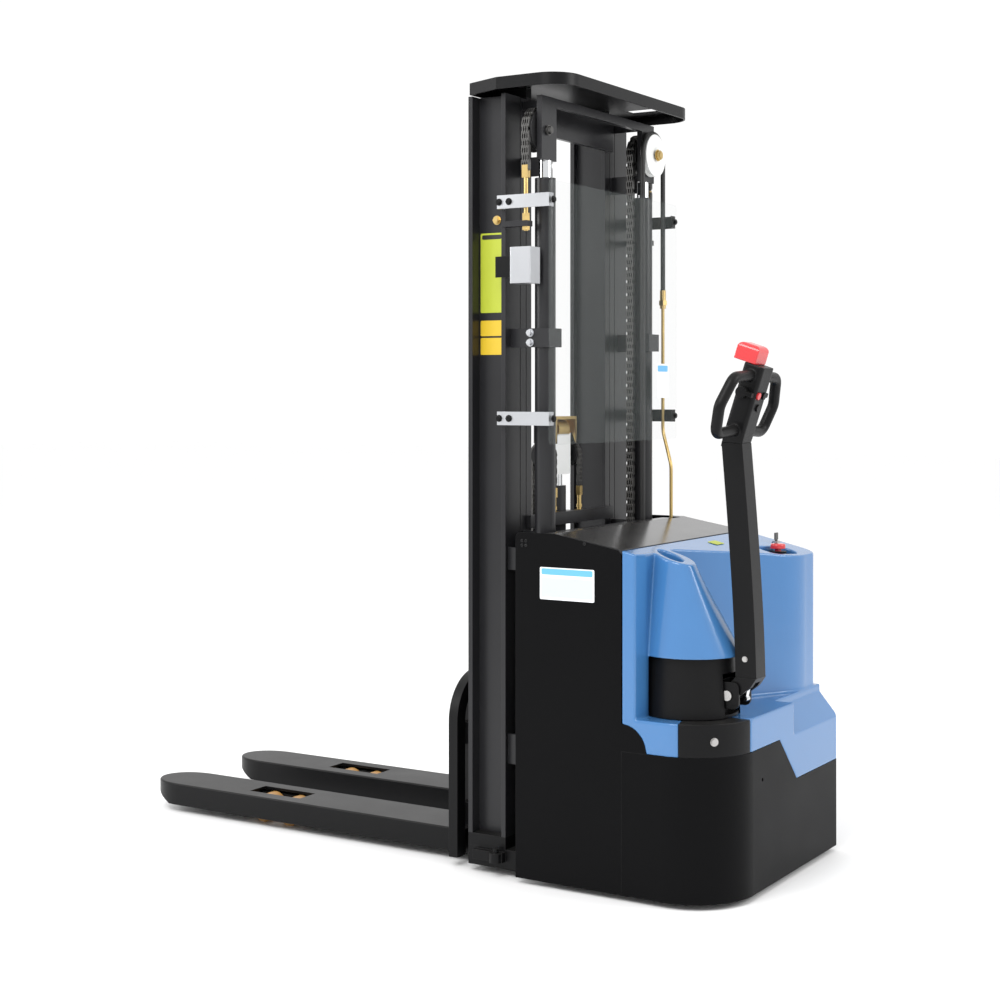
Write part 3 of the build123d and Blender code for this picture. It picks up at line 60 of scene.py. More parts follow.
NODES = frame["nodes"]
NODE_BODY = {name: body for body, names in frame["record"]["behaviour"]["bodies"].items() for name in names}
MM = 0.001
ROUNDING_SAMPLES = 4
DUST_COLOUR = (0.45, 0.43, 0.4)
COAT_ROUGHNESS = 0.06
GRAIN_DEPTH = 0.0006
DULLEST, GLOSSIEST = 1.18, 0.82
ARC_STEPS = 5
WHEEL_STEPS = 24


def colour(name, description, value):
    """Colour property with its default, linear."""
    return FloatVectorProperty(name=name, description=description, subtype="COLOR", size=3,
                               min=0, max=1, default=value)


def length(name, description, value):
    """Length property in metres."""
    return FloatProperty(name=name, description=description, subtype="DISTANCE", unit="LENGTH",
                         min=0, default=value)


class StackerColours(PropertyGroup):
    """Colours that a user would change."""

    cover: colour("Cover", "Moulded rear cover", (0.045, 0.162, 0.375))
    paint: colour("Paint", "Powder coat on the mast, forks and panels", (0.0034, 0.0034, 0.0038))
    plastic: colour("Plastic", "Black mouldings", (0.0046, 0.0046, 0.005))
    button: colour("Button", "Reversing and emergency buttons", (0.6, 0.03, 0.035))
    roller: colour("Roller", "Load roller tyre", (0.42, 0.22, 0.06))
    sticker: colour("Sticker", "Blank stickers on the mast", (0.4, 0.46, 0.03))
    floor: colour("Floor", "Studio floor", (0.96, 0.96, 0.96))


class StackerSizes(PropertyGroup):
    """Sizes that a user would change."""

    cover_voxel: length("Cover voxel", "Cell of the moulded cover's surface", 0.0026)
    head_voxel: length("Head voxel", "Cell of the moulded tiller head's surface", 0.0016)
    cover_rounding: IntProperty(name="Cover rounding", description="Passes that soften the cover's edges",
                                default=10, min=0, max=60)
    head_rounding: IntProperty(name="Head rounding", description="Passes that soften the tiller head's edges",
                               default=14, min=0, max=60)
    side_pitch: length("Side chain pitch", "Distance between the side chains' pins", 0.01905)
    free_pitch: length("Free-lift chain pitch", "Distance between the free-lift chains' pins", 0.0127)
    bolt_radius: length("Guard bolt radius", "Head of the bolts on the guard's brackets", 0.0075)
    sticker_lift: length("Sticker thickness", "How far a sticker stands off its panel", 0.0004)


class StackerStudio(PropertyGroup):
    """Studio light that a user would change."""

    key_power: FloatProperty(name="Key light", description="Large soft light over the camera",
                             subtype="POWER", unit="POWER", default=190, min=0)
    rim_power: FloatProperty(name="Side light", description="Soft light from the operator's side",
                             subtype="POWER", unit="POWER", default=90, min=0)
    sky: FloatProperty(name="Surround", description="Brightness of the pale surround", default=1.04, min=0)


# ---- Shared surface effects ----
def node_group(name, inputs, outputs):
    """Shader group with float inputs and the outputs' socket types."""
    tree = bpy.data.node_groups.new(name, "ShaderNodeTree")
    for label, value in inputs:
        socket = tree.interface.new_socket(label, in_out="INPUT", socket_type="NodeSocketFloat")
        socket.default_value = value
    for label, kind in outputs:
        tree.interface.new_socket(label, in_out="OUTPUT", socket_type=kind)
    return tree, tree.nodes.new("NodeGroupInput"), tree.nodes.new("NodeGroupOutput")


def math_node(tree, operation, first, second=None, clamp=False):
    """Math node fed by sockets or by constants."""
    node = tree.nodes.new("ShaderNodeMath")
    node.operation = operation
    node.use_clamp = clamp
    for slot, value in enumerate((first, second)):
        if value is None:
            continue
        if isinstance(value, (int, float)):
            node.inputs[slot].default_value = value
        else:
            tree.links.new(value, node.inputs[slot])
    return node.outputs[0]


def noise(tree, scale, detail=4.0, stretch=None):
    """Noise on Object coordinates; scale is a socket or a number."""
    place = tree.nodes.new("ShaderNodeTexCoord").outputs["Object"]
    if stretch:
        mapping = tree.nodes.new("ShaderNodeMapping")
        mapping.inputs["Scale"].default_value = stretch
        tree.links.new(place, mapping.inputs["Vector"])
        place = mapping.outputs[0]
    texture = tree.nodes.new("ShaderNodeTexNoise")
    texture.inputs["Detail"].default_value = detail
    tree.links.new(place, texture.inputs["Vector"])
    if isinstance(scale, (int, float)):
        texture.inputs["Scale"].default_value = scale
    else:
        tree.links.new(scale, texture.inputs["Scale"])
    return texture.outputs["Fac"]


def grain_group():
    """Fine grain: a height for bump, and a slow drift for tone and gloss."""
    tree, start, end = node_group("Surface grain", (("Scale", 900.0), ("Drift scale", 6.0)),
                                  (("Height", "NodeSocketFloat"), ("Drift", "NodeSocketFloat")))
    tree.links.new(noise(tree, start.outputs["Scale"], 2.0), end.inputs["Height"])
    tree.links.new(noise(tree, start.outputs["Drift scale"], 5.0), end.inputs["Drift"])
    return tree


def wear_group():
    """Mask of edges rubbed bare, broken up by noise."""
    tree, start, end = node_group("Edge wear", (("Amount", 0.5), ("Radius", 0.002)),
                                  (("Mask", "NodeSocketFloat"),))
    bevel = tree.nodes.new("ShaderNodeBevel")
    bevel.samples = ROUNDING_SAMPLES
    tree.links.new(start.outputs["Radius"], bevel.inputs["Radius"])
    geometry = tree.nodes.new("ShaderNodeNewGeometry")
    dot = tree.nodes.new("ShaderNodeVectorMath")
    dot.operation = "DOT_PRODUCT"
    tree.links.new(bevel.outputs[0], dot.inputs[0])
    tree.links.new(geometry.outputs["Normal"], dot.inputs[1])
    edge = math_node(tree, "SUBTRACT", 1.0, dot.outputs["Value"])
    broken = math_node(tree, "MULTIPLY", noise(tree, 55.0, 6.0), 6.0)
    worn = math_node(tree, "MULTIPLY", edge, broken)
    tree.links.new(math_node(tree, "MULTIPLY", worn, start.outputs["Amount"], True), end.inputs["Mask"])
    return tree


def dust_group():
    """Mask of dust that settles on faces that look up."""
    tree, start, end = node_group("Dust", (("Amount", 0.1),), (("Mask", "NodeSocketFloat"),))
    split = tree.nodes.new("ShaderNodeSeparateXYZ")
    tree.links.new(tree.nodes.new("ShaderNodeNewGeometry").outputs["Normal"], split.inputs[0])
    up = math_node(tree, "MULTIPLY", split.outputs["Z"], noise(tree, 14.0, 6.0), True)
    tree.links.new(math_node(tree, "MULTIPLY", up, start.outputs["Amount"], True), end.inputs["Mask"])
    return tree


def place_group(tree, maker_name, maker, **values):
    """Node that uses a shared group, which is made once."""
    group = bpy.data.node_groups.get(maker_name) or maker()
    node = tree.nodes.new("ShaderNodeGroup")
    node.node_tree = group
    for label, value in values.items():
        node.inputs[label.replace("_", " ")].default_value = value
    return node


def mix_colour(tree, mask, first, second):
    """Colour mixed by a mask; each colour is a socket or three numbers."""
    node = tree.nodes.new("ShaderNodeMix")
    node.data_type = "RGBA"
    tree.links.new(mask, node.inputs[0])
    for slot, value in ((6, first), (7, second)):
        if isinstance(value, bpy.types.NodeSocket):
            tree.links.new(value, node.inputs[slot])
        else:
            node.inputs[slot].default_value = (*value, 1)
    return node.outputs[2]


def ramp(tree, value, low, high):
    """Value from 0 to 1 taken to a range."""
    node = tree.nodes.new("ShaderNodeMapRange")
    tree.links.new(value, node.inputs["Value"])
    node.inputs["To Min"].default_value = low
    node.inputs["To Max"].default_value = high
    return node.outputs["Result"]


def shade(colour, factor):
    """Colour made lighter or darker."""
    return tuple(min(1.0, c * factor) for c in colour)


def finish(name, base, rough, metallic=0.0, coat=0.0, specular=0.5, grain=900.0, bump=0.05, drift=0.12,
           wear=0.0, bare=(0.3, 0.3, 0.3), dust=0.0, stretch=None, bevel=0.0):
    """Material with grain, a slow drift in tone and gloss, rubbed edges and settled dust."""
    material = bpy.data.materials.get(name)
    if material:
        return material
    material = bpy.data.materials.new(name)
    material.use_nodes = True
    tree = material.node_tree
    shader = tree.nodes["Principled BSDF"]
    shader.inputs["Metallic"].default_value = metallic
    shader.inputs["Coat Weight"].default_value = coat
    shader.inputs["Coat Roughness"].default_value = COAT_ROUGHNESS
    shader.inputs["Specular IOR Level"].default_value = specular
    surface = place_group(tree, "Surface grain", grain_group, Scale=grain)
    tone = mix_colour(tree, surface.outputs["Drift"], shade(base, 1 - drift), shade(base, 1 + drift))
    if wear:
        worn = place_group(tree, "Edge wear", wear_group, Amount=wear)
        tone = mix_colour(tree, worn.outputs["Mask"], tone, bare)
    if dust:
        settled = place_group(tree, "Dust", dust_group, Amount=dust)
        tone = mix_colour(tree, settled.outputs["Mask"], tone, DUST_COLOUR)
    tree.links.new(tone, shader.inputs["Base Color"])
    gloss = ramp(tree, surface.outputs["Drift"], rough * GLOSSIEST, min(1.0, rough * DULLEST))
    tree.links.new(gloss, shader.inputs["Roughness"])
    lift = tree.nodes.new("ShaderNodeBump")
    lift.inputs["Strength"].default_value = bump
    lift.inputs["Distance"].default_value = GRAIN_DEPTH
    height = noise(tree, grain, 3.0, stretch) if stretch else surface.outputs["Height"]
    tree.links.new(height, lift.inputs["Height"])
    if bevel:
        rounded = tree.nodes.new("ShaderNodeBevel")
        rounded.samples = ROUNDING_SAMPLES
        rounded.inputs["Radius"].default_value = bevel
        tree.links.new(rounded.outputs[0], lift.inputs["Normal"])
    tree.links.new(lift.outputs[0], shader.inputs["Normal"])
    return material


def clear_finish(name):
    """Clear polycarbonate sheet with faint scuffs."""
    material = finish(name, (0.3, 0.33, 0.32), 0.08, specular=0.06, bump=0.0, drift=0.05)
    material.node_tree.nodes["Principled BSDF"].inputs["Alpha"].default_value = 0.055
    return material


def finishes():
    """Every finish by name."""
    c = bpy.context.scene.stacker_colours
    paint, plastic = tuple(c.paint), tuple(c.plastic)
    made = {
        "black_paint": finish("Black powder coat", paint, 0.36, specular=0.17, grain=1100, bump=0.16,
                              drift=0.2, wear=0.05, dust=0.035, bevel=0.0014),
        "mast_paint": finish("Mast powder coat", shade(paint, 4), 0.3, specular=0.34, grain=1300, bump=0.14,
                             drift=0.2, wear=0.12, bare=(0.12, 0.12, 0.12), bevel=0.0012),
        "panel_paint": finish("Panel textured coat", shade(paint, 0.9), 0.4, specular=0.06, grain=1700,
                              bump=0.28, drift=0.12, wear=0.04, bevel=0.0012),
        "blue_cover": finish("Blue moulded cover", tuple(c.cover), 0.22, coat=0.35, grain=420, bump=0.015,
                             drift=0.05, dust=0.03),
        "black_plastic": finish("Black moulded plastic", plastic, 0.36, specular=0.14, grain=1900, bump=0.3,
                                drift=0.1, dust=0.04, bevel=0.001),
        "red_plastic": finish("Red moulded plastic", tuple(c.button), 0.22, coat=0.4, grain=600, bump=0.03,
                              drift=0.08),
        "steel": finish("Oiled steel", (0.1, 0.098, 0.095), 0.38, metallic=0.9, grain=500, bump=0.1,
                        drift=0.25, wear=0.1),
        "dark_steel": finish("Blackened sheave", (0.02, 0.02, 0.021), 0.4, metallic=0.6, grain=700,
                             bump=0.12, drift=0.2, wear=0.15, bevel=0.001),
        "silver": finish("Bright bolt", (0.45, 0.44, 0.43), 0.3, metallic=1.0, grain=800, bump=0.06,
                         drift=0.1),
        "zinc": finish("Zinc plate", (0.5, 0.51, 0.53), 0.34, metallic=0.95, grain=240, bump=0.05,
                       drift=0.1, bevel=0.0006),
        "brass": finish("Yellow zinc", (0.55, 0.4, 0.16), 0.32, metallic=0.95, grain=500, bump=0.06,
                        drift=0.18),
        "chrome": finish("Hard chrome", (0.66, 0.67, 0.68), 0.1, metallic=1.0, grain=300, bump=0.01,
                         drift=0.05),
        "clear": clear_finish("Clear guard"),
        "roller_tyre": finish("Amber polyurethane", tuple(c.roller), 0.36, grain=700, bump=0.1, drift=0.16),
        "tyre": finish("Dark polyurethane", (0.06, 0.02, 0.015), 0.5, grain=700, bump=0.15, drift=0.2,
                       dust=0.1),
        "rubber": finish("Ribbed hose rubber", (0.012, 0.012, 0.012), 0.55, grain=260, bump=0.3, drift=0.15,
                         stretch=(1, 1, 3)),
        "white_nylon": finish("White nylon", (0.78, 0.79, 0.78), 0.36, grain=700, bump=0.04, drift=0.04),
        "deck_grey": finish("Glossy deck lid", (0.012, 0.012, 0.013), 0.2, specular=0.45, grain=500,
                            bump=0.02, drift=0.1, dust=0.1, bevel=0.0015),
        "aluminium": finish("Cast aluminium", (0.5, 0.5, 0.51), 0.45, metallic=0.95, grain=900, bump=0.3,
                            drift=0.12),
    }
    for slot, name, base, rough, drift in (
        ("label_green", "Sticker yellow green", tuple(c.sticker), 0.45, 0.04),
        ("label_yellow", "Sticker yellow", (0.62, 0.42, 0.02), 0.4, 0.04),
        ("label_black", "Sticker black", (0.012, 0.012, 0.012), 0.4, 0.04),
        ("label_white", "Sticker white", (0.78, 0.8, 0.82), 0.35, 0.03),
        ("label_blue", "Sticker blue", (0.12, 0.4, 0.68), 0.35, 0.03),
        ("label_grey", "Sticker grey", (0.52, 0.55, 0.58), 0.35, 0.03),
    ):
        made[slot] = finish(name, base, rough, grain=300, bump=0.02, drift=drift)
    return made


# ---- Mesh helpers ----
def add_piece(name, mesh, body, material, stands_for=()):
    """Object at the origin that rides on a body."""
    piece = bpy.data.objects.new(name, mesh)
    bpy.context.scene.collection.objects.link(piece)
    mesh.materials.clear()
    mesh.materials.append(material)
    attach(piece, body)
    if stands_for:
        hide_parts(*stands_for)
    return piece


def baked(name, source, modifiers):
    """Plain mesh of a mesh or curve once its modifiers are worked out; modifiers are (kind, settings)."""
    helper = bpy.data.objects.new(name + "_source", source)
    bpy.context.scene.collection.objects.link(helper)
    for kind, settings in modifiers:
        modifier = helper.modifiers.new(kind, kind)
        for key, value in settings.items():
            if key.startswith("Socket_"):
                modifier[key] = value
            else:
                setattr(modifier, key, value)
    bpy.context.view_layer.update()
    result = bpy.data.meshes.new_from_object(helper.evaluated_get(bpy.context.evaluated_depsgraph_get()))
    helper.modifiers.clear()
    bpy.data.objects.remove(helper)
    result.name = name
    return result


def merged_copy(node):
    """Copy of a CAD node's mesh whose loose triangles are joined."""
    shape = bmesh.new()
    shape.from_mesh(NODES[node].data)
    bmesh.ops.remove_doubles(shape, verts=shape.verts, dist=1e-5)
    bmesh.ops.dissolve_degenerate(shape, edges=shape.edges, dist=1e-6)
    mesh = bpy.data.meshes.new(node + "_joined")
    shape.to_mesh(mesh)
    shape.free()
    return mesh


def softened(node, name, voxel, passes, kept=1.0):
    """Moulded form of a CAD node: the same shape with its edges rounded."""
    steps = [("REMESH", {"mode": "VOXEL", "voxel_size": voxel, "use_smooth_shade": True}),
             ("SMOOTH", {"factor": 0.5, "iterations": passes})]
    if kept < 1:
        steps.append(("DECIMATE", {"ratio": kept}))
    mesh = baked(name, merged_copy(node), steps)
    mesh.shade_smooth()
    return mesh


def paint_node(node, material, regions=()):
    """Finish on a CAD node; a region is another finish and a test on a face's centre in millimetres."""
    mesh = NODES[node].data
    mesh.materials.clear()
    mesh.materials.append(material)
    for number, (other, inside) in enumerate(regions, 1):
        mesh.materials.append(other)
        for face in mesh.polygons:
            if inside(*(face.center / MM)):
                face.material_index = number


def rounded_plate(name, centre, along, up, size, corner, thickness):
    """Thin plate with round corners that stands off a surface; sizes in metres."""
    along, up = Vector(along).normalized(), Vector(up).normalized()
    normal = along.cross(up)
    rim = []
    for quarter, (sx, sy) in enumerate(((1, 1), (-1, 1), (-1, -1), (1, -1))):
        for step in range(ARC_STEPS + 1):
            angle = pi / 2 * (quarter + step / ARC_STEPS)
            rim.append((sx * (size[0] / 2 - corner) + corner * cos(angle),
                        sy * (size[1] / 2 - corner) + corner * sin(angle)))
    shape = bmesh.new()
    shoulder, top_inset = 0.7, 0.997
    layers = [[shape.verts.new(Vector(centre) + along * x * inset + up * y * inset + normal * height)
               for x, y in rim]
              for height, inset in ((0.0, 1.0), (thickness * shoulder, 1.0), (thickness, top_inset))]
    for low, high in zip(layers, layers[1:]):
        for i in range(len(rim)):
            j = (i + 1) % len(rim)
            shape.faces.new((low[i], low[j], high[j], high[i]))
    shape.faces.new(layers[-1])
    shape.faces.new(reversed(layers[0]))
    mesh = bpy.data.meshes.new(name)
    shape.to_mesh(mesh)
    shape.free()
    return mesh


# ---- Geometry Nodes for what repeats ----
def geometry_tree(name, inputs):
    """Geometry tree with a geometry input and output and named inputs; returns it with its ends."""
    tree = bpy.data.node_groups.new(name, "GeometryNodeTree")
    tree.interface.new_socket("Geometry", in_out="INPUT", socket_type="NodeSocketGeometry")
    for label, kind, value in inputs:
        tree.interface.new_socket(label, in_out="INPUT", socket_type=kind).default_value = value
    tree.interface.new_socket("Geometry", in_out="OUTPUT", socket_type="NodeSocketGeometry")
    return tree, tree.nodes.new("NodeGroupInput"), tree.nodes.new("NodeGroupOutput")


def input_ids(tree, **values):
    """Modifier settings for a tree's inputs, by socket identifier."""
    named = {item.name: item.identifier for item in tree.interface.items_tree if item.in_out == "INPUT"}
    return {named[label.replace("_", " ")]: value for label, value in values.items()}


def finish_tree(tree, end, instances, material):
    """Ends a tree in real geometry with its finish."""
    real = tree.nodes.new("GeometryNodeRealizeInstances")
    tree.links.new(instances, real.inputs[0])
    paint = tree.nodes.new("GeometryNodeSetMaterial")
    paint.inputs["Material"].default_value = material
    tree.links.new(real.outputs[0], paint.inputs["Geometry"])
    tree.links.new(paint.outputs[0], end.inputs["Geometry"])


def aligned(tree, vector, pivot):
    """Rotation that takes Z to a vector, about one axis or freely."""
    turn = tree.nodes.new("FunctionNodeAlignRotationToVector")
    turn.axis = "Z"
    turn.pivot_axis = pivot
    tree.links.new(vector, turn.inputs["Vector"])
    return turn.outputs[0]


def chain_tree(name, pivot, link_shapes, material):
    """Links along a path, with two link shapes that alternate."""
    tree, start, end = geometry_tree(name, (("Pitch", "NodeSocketFloat", 0.015),))
    spaced = tree.nodes.new("GeometryNodeResampleCurve")
    spaced.mode = "LENGTH"
    tree.links.new(start.outputs["Geometry"], spaced.inputs["Curve"])
    tree.links.new(start.outputs["Pitch"], spaced.inputs["Length"])
    turn = aligned(tree, tree.nodes.new("GeometryNodeInputTangent").outputs[0], pivot)
    odd = tree.nodes.new("ShaderNodeMath")
    odd.operation = "MODULO"
    odd.inputs[1].default_value = 2
    tree.links.new(tree.nodes.new("GeometryNodeInputIndex").outputs[0], odd.inputs[0])
    even = tree.nodes.new("FunctionNodeBooleanMath")
    even.operation = "NOT"
    tree.links.new(odd.outputs[0], even.inputs[0])
    join = tree.nodes.new("GeometryNodeJoinGeometry")
    for shape, chosen in zip(link_shapes, (even.outputs[0], odd.outputs[0])):
        source = tree.nodes.new("GeometryNodeObjectInfo")
        source.inputs["Object"].default_value = shape
        place = tree.nodes.new("GeometryNodeInstanceOnPoints")
        tree.links.new(spaced.outputs[0], place.inputs["Points"])
        tree.links.new(chosen, place.inputs["Selection"])
        tree.links.new(source.outputs["Geometry"], place.inputs["Instance"])
        tree.links.new(turn, place.inputs["Rotation"])
        tree.links.new(place.outputs[0], join.inputs[0])
    finish_tree(tree, end, join.outputs[0], material)
    return tree


def bolt_tree(material):
    """Washer, hexagon and domed socket head at every point, facing along its aim attribute."""
    tree, start, end = geometry_tree("Bolts", (("Head radius", "NodeSocketFloat", 0.007),
                                               ("Head height", "NodeSocketFloat", 0.005),
                                               ("Washer height", "NodeSocketFloat", 0.0015),
                                               ("Sides", "NodeSocketInt", 6)))
    aim = tree.nodes.new("GeometryNodeInputNamedAttribute")
    aim.data_type = "FLOAT_VECTOR"
    aim.inputs["Name"].default_value = "aim"
    turn = aligned(tree, aim.outputs["Attribute"], "AUTO")
    join = tree.nodes.new("GeometryNodeJoinGeometry")

    def disc(radius, height, base, sides):
        shape = tree.nodes.new("GeometryNodeMeshCylinder")
        if isinstance(sides, int):
            shape.inputs["Vertices"].default_value = sides
        else:
            tree.links.new(sides, shape.inputs["Vertices"])
        tree.links.new(radius, shape.inputs["Radius"])
        tree.links.new(height, shape.inputs["Depth"])
        lift = tree.nodes.new("ShaderNodeCombineXYZ")
        half = math_node(tree, "MULTIPLY", height, 0.5)
        tree.links.new(math_node(tree, "ADD", half, base), lift.inputs["Z"])
        move = tree.nodes.new("GeometryNodeTransform")
        tree.links.new(shape.outputs["Mesh"], move.inputs["Geometry"])
        tree.links.new(lift.outputs[0], move.inputs["Translation"])
        tree.links.new(move.outputs[0], join.inputs[0])

    washer_spread, crown_spread, crown_rise, round_sides, crown_sides = 1.25, 0.72, 0.18, 24, 16
    radius, height = start.outputs["Head radius"], start.outputs["Head height"]
    washer = start.outputs["Washer height"]
    disc(math_node(tree, "MULTIPLY", radius, washer_spread), washer, 0.0, round_sides)
    disc(radius, height, washer, start.outputs["Sides"])
    crown = math_node(tree, "MULTIPLY", height, crown_rise)
    disc(math_node(tree, "MULTIPLY", radius, crown_spread), crown, math_node(tree, "ADD", washer, height),
         crown_sides)
    place = tree.nodes.new("GeometryNodeInstanceOnPoints")
    tree.links.new(start.outputs["Geometry"], place.inputs["Points"])
    tree.links.new(join.outputs[0], place.inputs["Instance"])
    tree.links.new(turn, place.inputs["Rotation"])
    finish_tree(tree, end, place.outputs[0], material)
    return tree


def link_shape(name, pitch, radius, layers, plate, across, pins, turned=False):
    """Leaf-chain link: plates side by side, and the pins at its ends where it has them. Its length lies
    along Z, and its pins along X, or along Y where it is turned."""
    shape = bmesh.new()
    outline = []
    for end_z, first in ((pitch / 2, 0), (-pitch / 2, pi)):
        for step in range(ARC_STEPS + 1):
            angle = first + pi * step / ARC_STEPS
            outline.append((radius * cos(angle), end_z + radius * sin(angle)))
    for layer in layers:
        faces = [[shape.verts.new((layer + side * plate / 2, y, z)) for y, z in outline] for side in (-1, 1)]
        shape.faces.new(reversed(faces[0]))
        shape.faces.new(faces[1])
        for i in range(len(outline)):
            j = (i + 1) % len(outline)
            shape.faces.new((faces[0][i], faces[0][j], faces[1][j], faces[1][i]))
    if pins:
        pin_radius = radius * 0.42
        for end_z in (-pitch / 2, pitch / 2):
            spot = Matrix.Translation((0, 0, end_z)) @ Matrix.Rotation(pi / 2, 4, "Y")
            bmesh.ops.create_cone(shape, cap_ends=True, segments=8, radius1=pin_radius,
                                  radius2=pin_radius, depth=across, matrix=spot)
    if turned:
        bmesh.ops.rotate(shape, verts=shape.verts, matrix=Matrix.Rotation(pi / 2, 3, "Z"))
    mesh = bpy.data.meshes.new(name)
    shape.to_mesh(mesh)
    shape.free()
    return bpy.data.objects.new(name, mesh)


def path_curve(name, paths):
    """Curve of straight and round runs that are given as points in metres."""
    curve = bpy.data.curves.new(name, "CURVE")
    curve.dimensions = "3D"
    for points in paths:
        spline = curve.splines.new("POLY")
        spline.points.add(len(points) - 1)
        for spot, point in zip(spline.points, points):
            spot.co = (*point, 1)
    return curve


def over_wheel(centre, radius, near_end, far_end, place):
    """Points up a fall, over a wheel and down the other fall; place turns (offset, height) into a point."""
    turn = [(-radius * cos(pi * i / WHEEL_STEPS), centre + radius * sin(pi * i / WHEEL_STEPS))
            for i in range(WHEEL_STEPS + 1)]
    return [place(*spot) for spot in ((-radius, near_end), *turn, (radius, far_end))]


# ---- Operators: one for each piece or group of like pieces ----
class STACKER_OT_frame_finishes(Operator):
    """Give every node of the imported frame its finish"""

    bl_idname = "stacker.frame_finishes"
    bl_label = "Frame finishes"

    def execute(self, context):
        f = finishes()
        crosshead_cap_z, guide_half, tiller_y = 1176, 46, -210
        by_slot = {part["node"]: part["material_slot"] for part in frame["record"]["subparts"]}
        for node in NODES:
            paint_node(node, f[by_slot[node]])
        for node in ("outer_mast", "middle_mast", "inner_mast", "lift_cylinders", "free_lift_cylinder"):
            paint_node(node, f["mast_paint"])
        paint_node("side_panels", f["panel_paint"])
        paint_node("chassis_shell", f["panel_paint"])
        paint_node("crosshead", f["dark_steel"],
                   ((f["brass"], lambda x, y, z: z > crosshead_cap_z),
                    (f["white_nylon"], lambda x, y, z: abs(y) < guide_half and z < crosshead_cap_z)))
        for node in ("chain_sheave_left", "chain_sheave_right"):
            paint_node(node, f["dark_steel"])
        paint_node("guard_brackets", f["zinc"], ((f["black_paint"], lambda x, y, z: y > 0),))
        paint_node("base_legs", f["black_paint"],
                   ((f["steel"], lambda x, y, z: x < -480 and abs(z - 40) < 11
                     and abs(abs(y) - 195) < 36),))
        paint_node("limit_switch_box", f["zinc"], ((f["black_paint"], lambda x, y, z: x < 367),))
        paint_node("tiller_bracket", f["black_paint"],
                   ((f["silver"], lambda x, y, z: (x - 930) ** 2 + (z - 526) ** 2 < 200
                     and abs(y - tiller_y) > 40),))
        paint_node("tiller_arm", f["black_paint"],
                   ((f["chrome"], lambda x, y, z: z < 562 and x > 950 and abs(y - tiller_y) < 11),))
        paint_node("switch_bodies", f["black_plastic"], ((f["silver"], lambda x, y, z: y > 305),))
        paint_node("lift_button", f["red_plastic"])
        return {"FINISHED"}


class STACKER_OT_mouldings(Operator):
    """Make the rounded mouldings: covers, tiller head, reversing and stop buttons, throttle"""

    bl_idname = "stacker.mouldings"
    bl_label = "Mouldings"

    def execute(self, context):
        f, sizes = finishes(), context.scene.stacker_sizes
        cover, head = sizes.cover_voxel, sizes.head_voxel
        rows = (
            ("rear_cover", "rear_cover_moulding", cover, sizes.cover_rounding, 0.42, "blue_cover"),
            ("corner_cover", "corner_cover_moulding", cover * 0.7, 5, 0.5, "black_plastic"),
            ("tiller_head", "tiller_head_moulding", head, sizes.head_rounding, 1.0, "black_plastic"),
            ("belly_button", "reversing_button_moulding", head * 0.8, 8, 1.0, "red_plastic"),
            ("estop_button", "stop_button_moulding", head * 0.5, 5, 1.0, "red_plastic"),
            ("throttle", "throttle_moulding", head * 0.6, 5, 1.0, "black_plastic"),
        )
        for node, name, voxel, passes, kept, finish_name in rows:
            mesh = softened(node, name, voxel, passes, kept)
            add_piece(name, mesh, NODE_BODY[node], f[finish_name], (node,))
        return {"FINISHED"}


class STACKER_OT_side_chains(Operator):
    """Make the leaf chains over the two side sheaves"""

    bl_idname = "stacker.side_chains"
    bl_label = "Side chains"

    def execute(self, context):
        pitch = context.scene.stacker_sizes.side_pitch
        low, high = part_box("side_chains")
        sheave_low, sheave_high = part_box("chain_sheave_right")
        centre_y, centre_z = (sheave_low.y + sheave_high.y) / 2, (sheave_low.z + sheave_high.z) / 2
        across = high.x - low.x
        middle_x = (low.x + high.x) / 2
        outer_r = high.y - centre_y
        flange = 6 * MM
        inner_r = (sheave_high.y - sheave_low.y) / 2 - flange
        radius = (inner_r + outer_r) / 2
        plate, plate_end_r, anchor_end = 0.0028, 0.0064, 1898 * MM
        outer_layers, inner_layers = (-0.0098, -0.0035, 0.0035, 0.0098), (-0.0066, 0.0, 0.0066)
        links = [link_shape("side_link_outer", pitch, plate_end_r, outer_layers, plate, across, True),
                 link_shape("side_link_inner", pitch, plate_end_r, inner_layers, plate, across, False)]
        tree = chain_tree("Side chain", "X", links, finishes()["steel"])
        paths = []
        for side in (1, -1):
            paths.append(over_wheel(centre_z, radius, low.z + pitch * 0.8, anchor_end - pitch,
                                    lambda off, z, side=side: (middle_x, side * (centre_y + off), z)))
        mesh = baked("side_leaf_chains", path_curve("side_paths", paths),
                     [("NODES", {"node_group": tree, **input_ids(tree, Pitch=pitch)})])
        add_piece("side_leaf_chains", mesh, "middle_stage", finishes()["steel"], ("side_chains",))
        return {"FINISHED"}


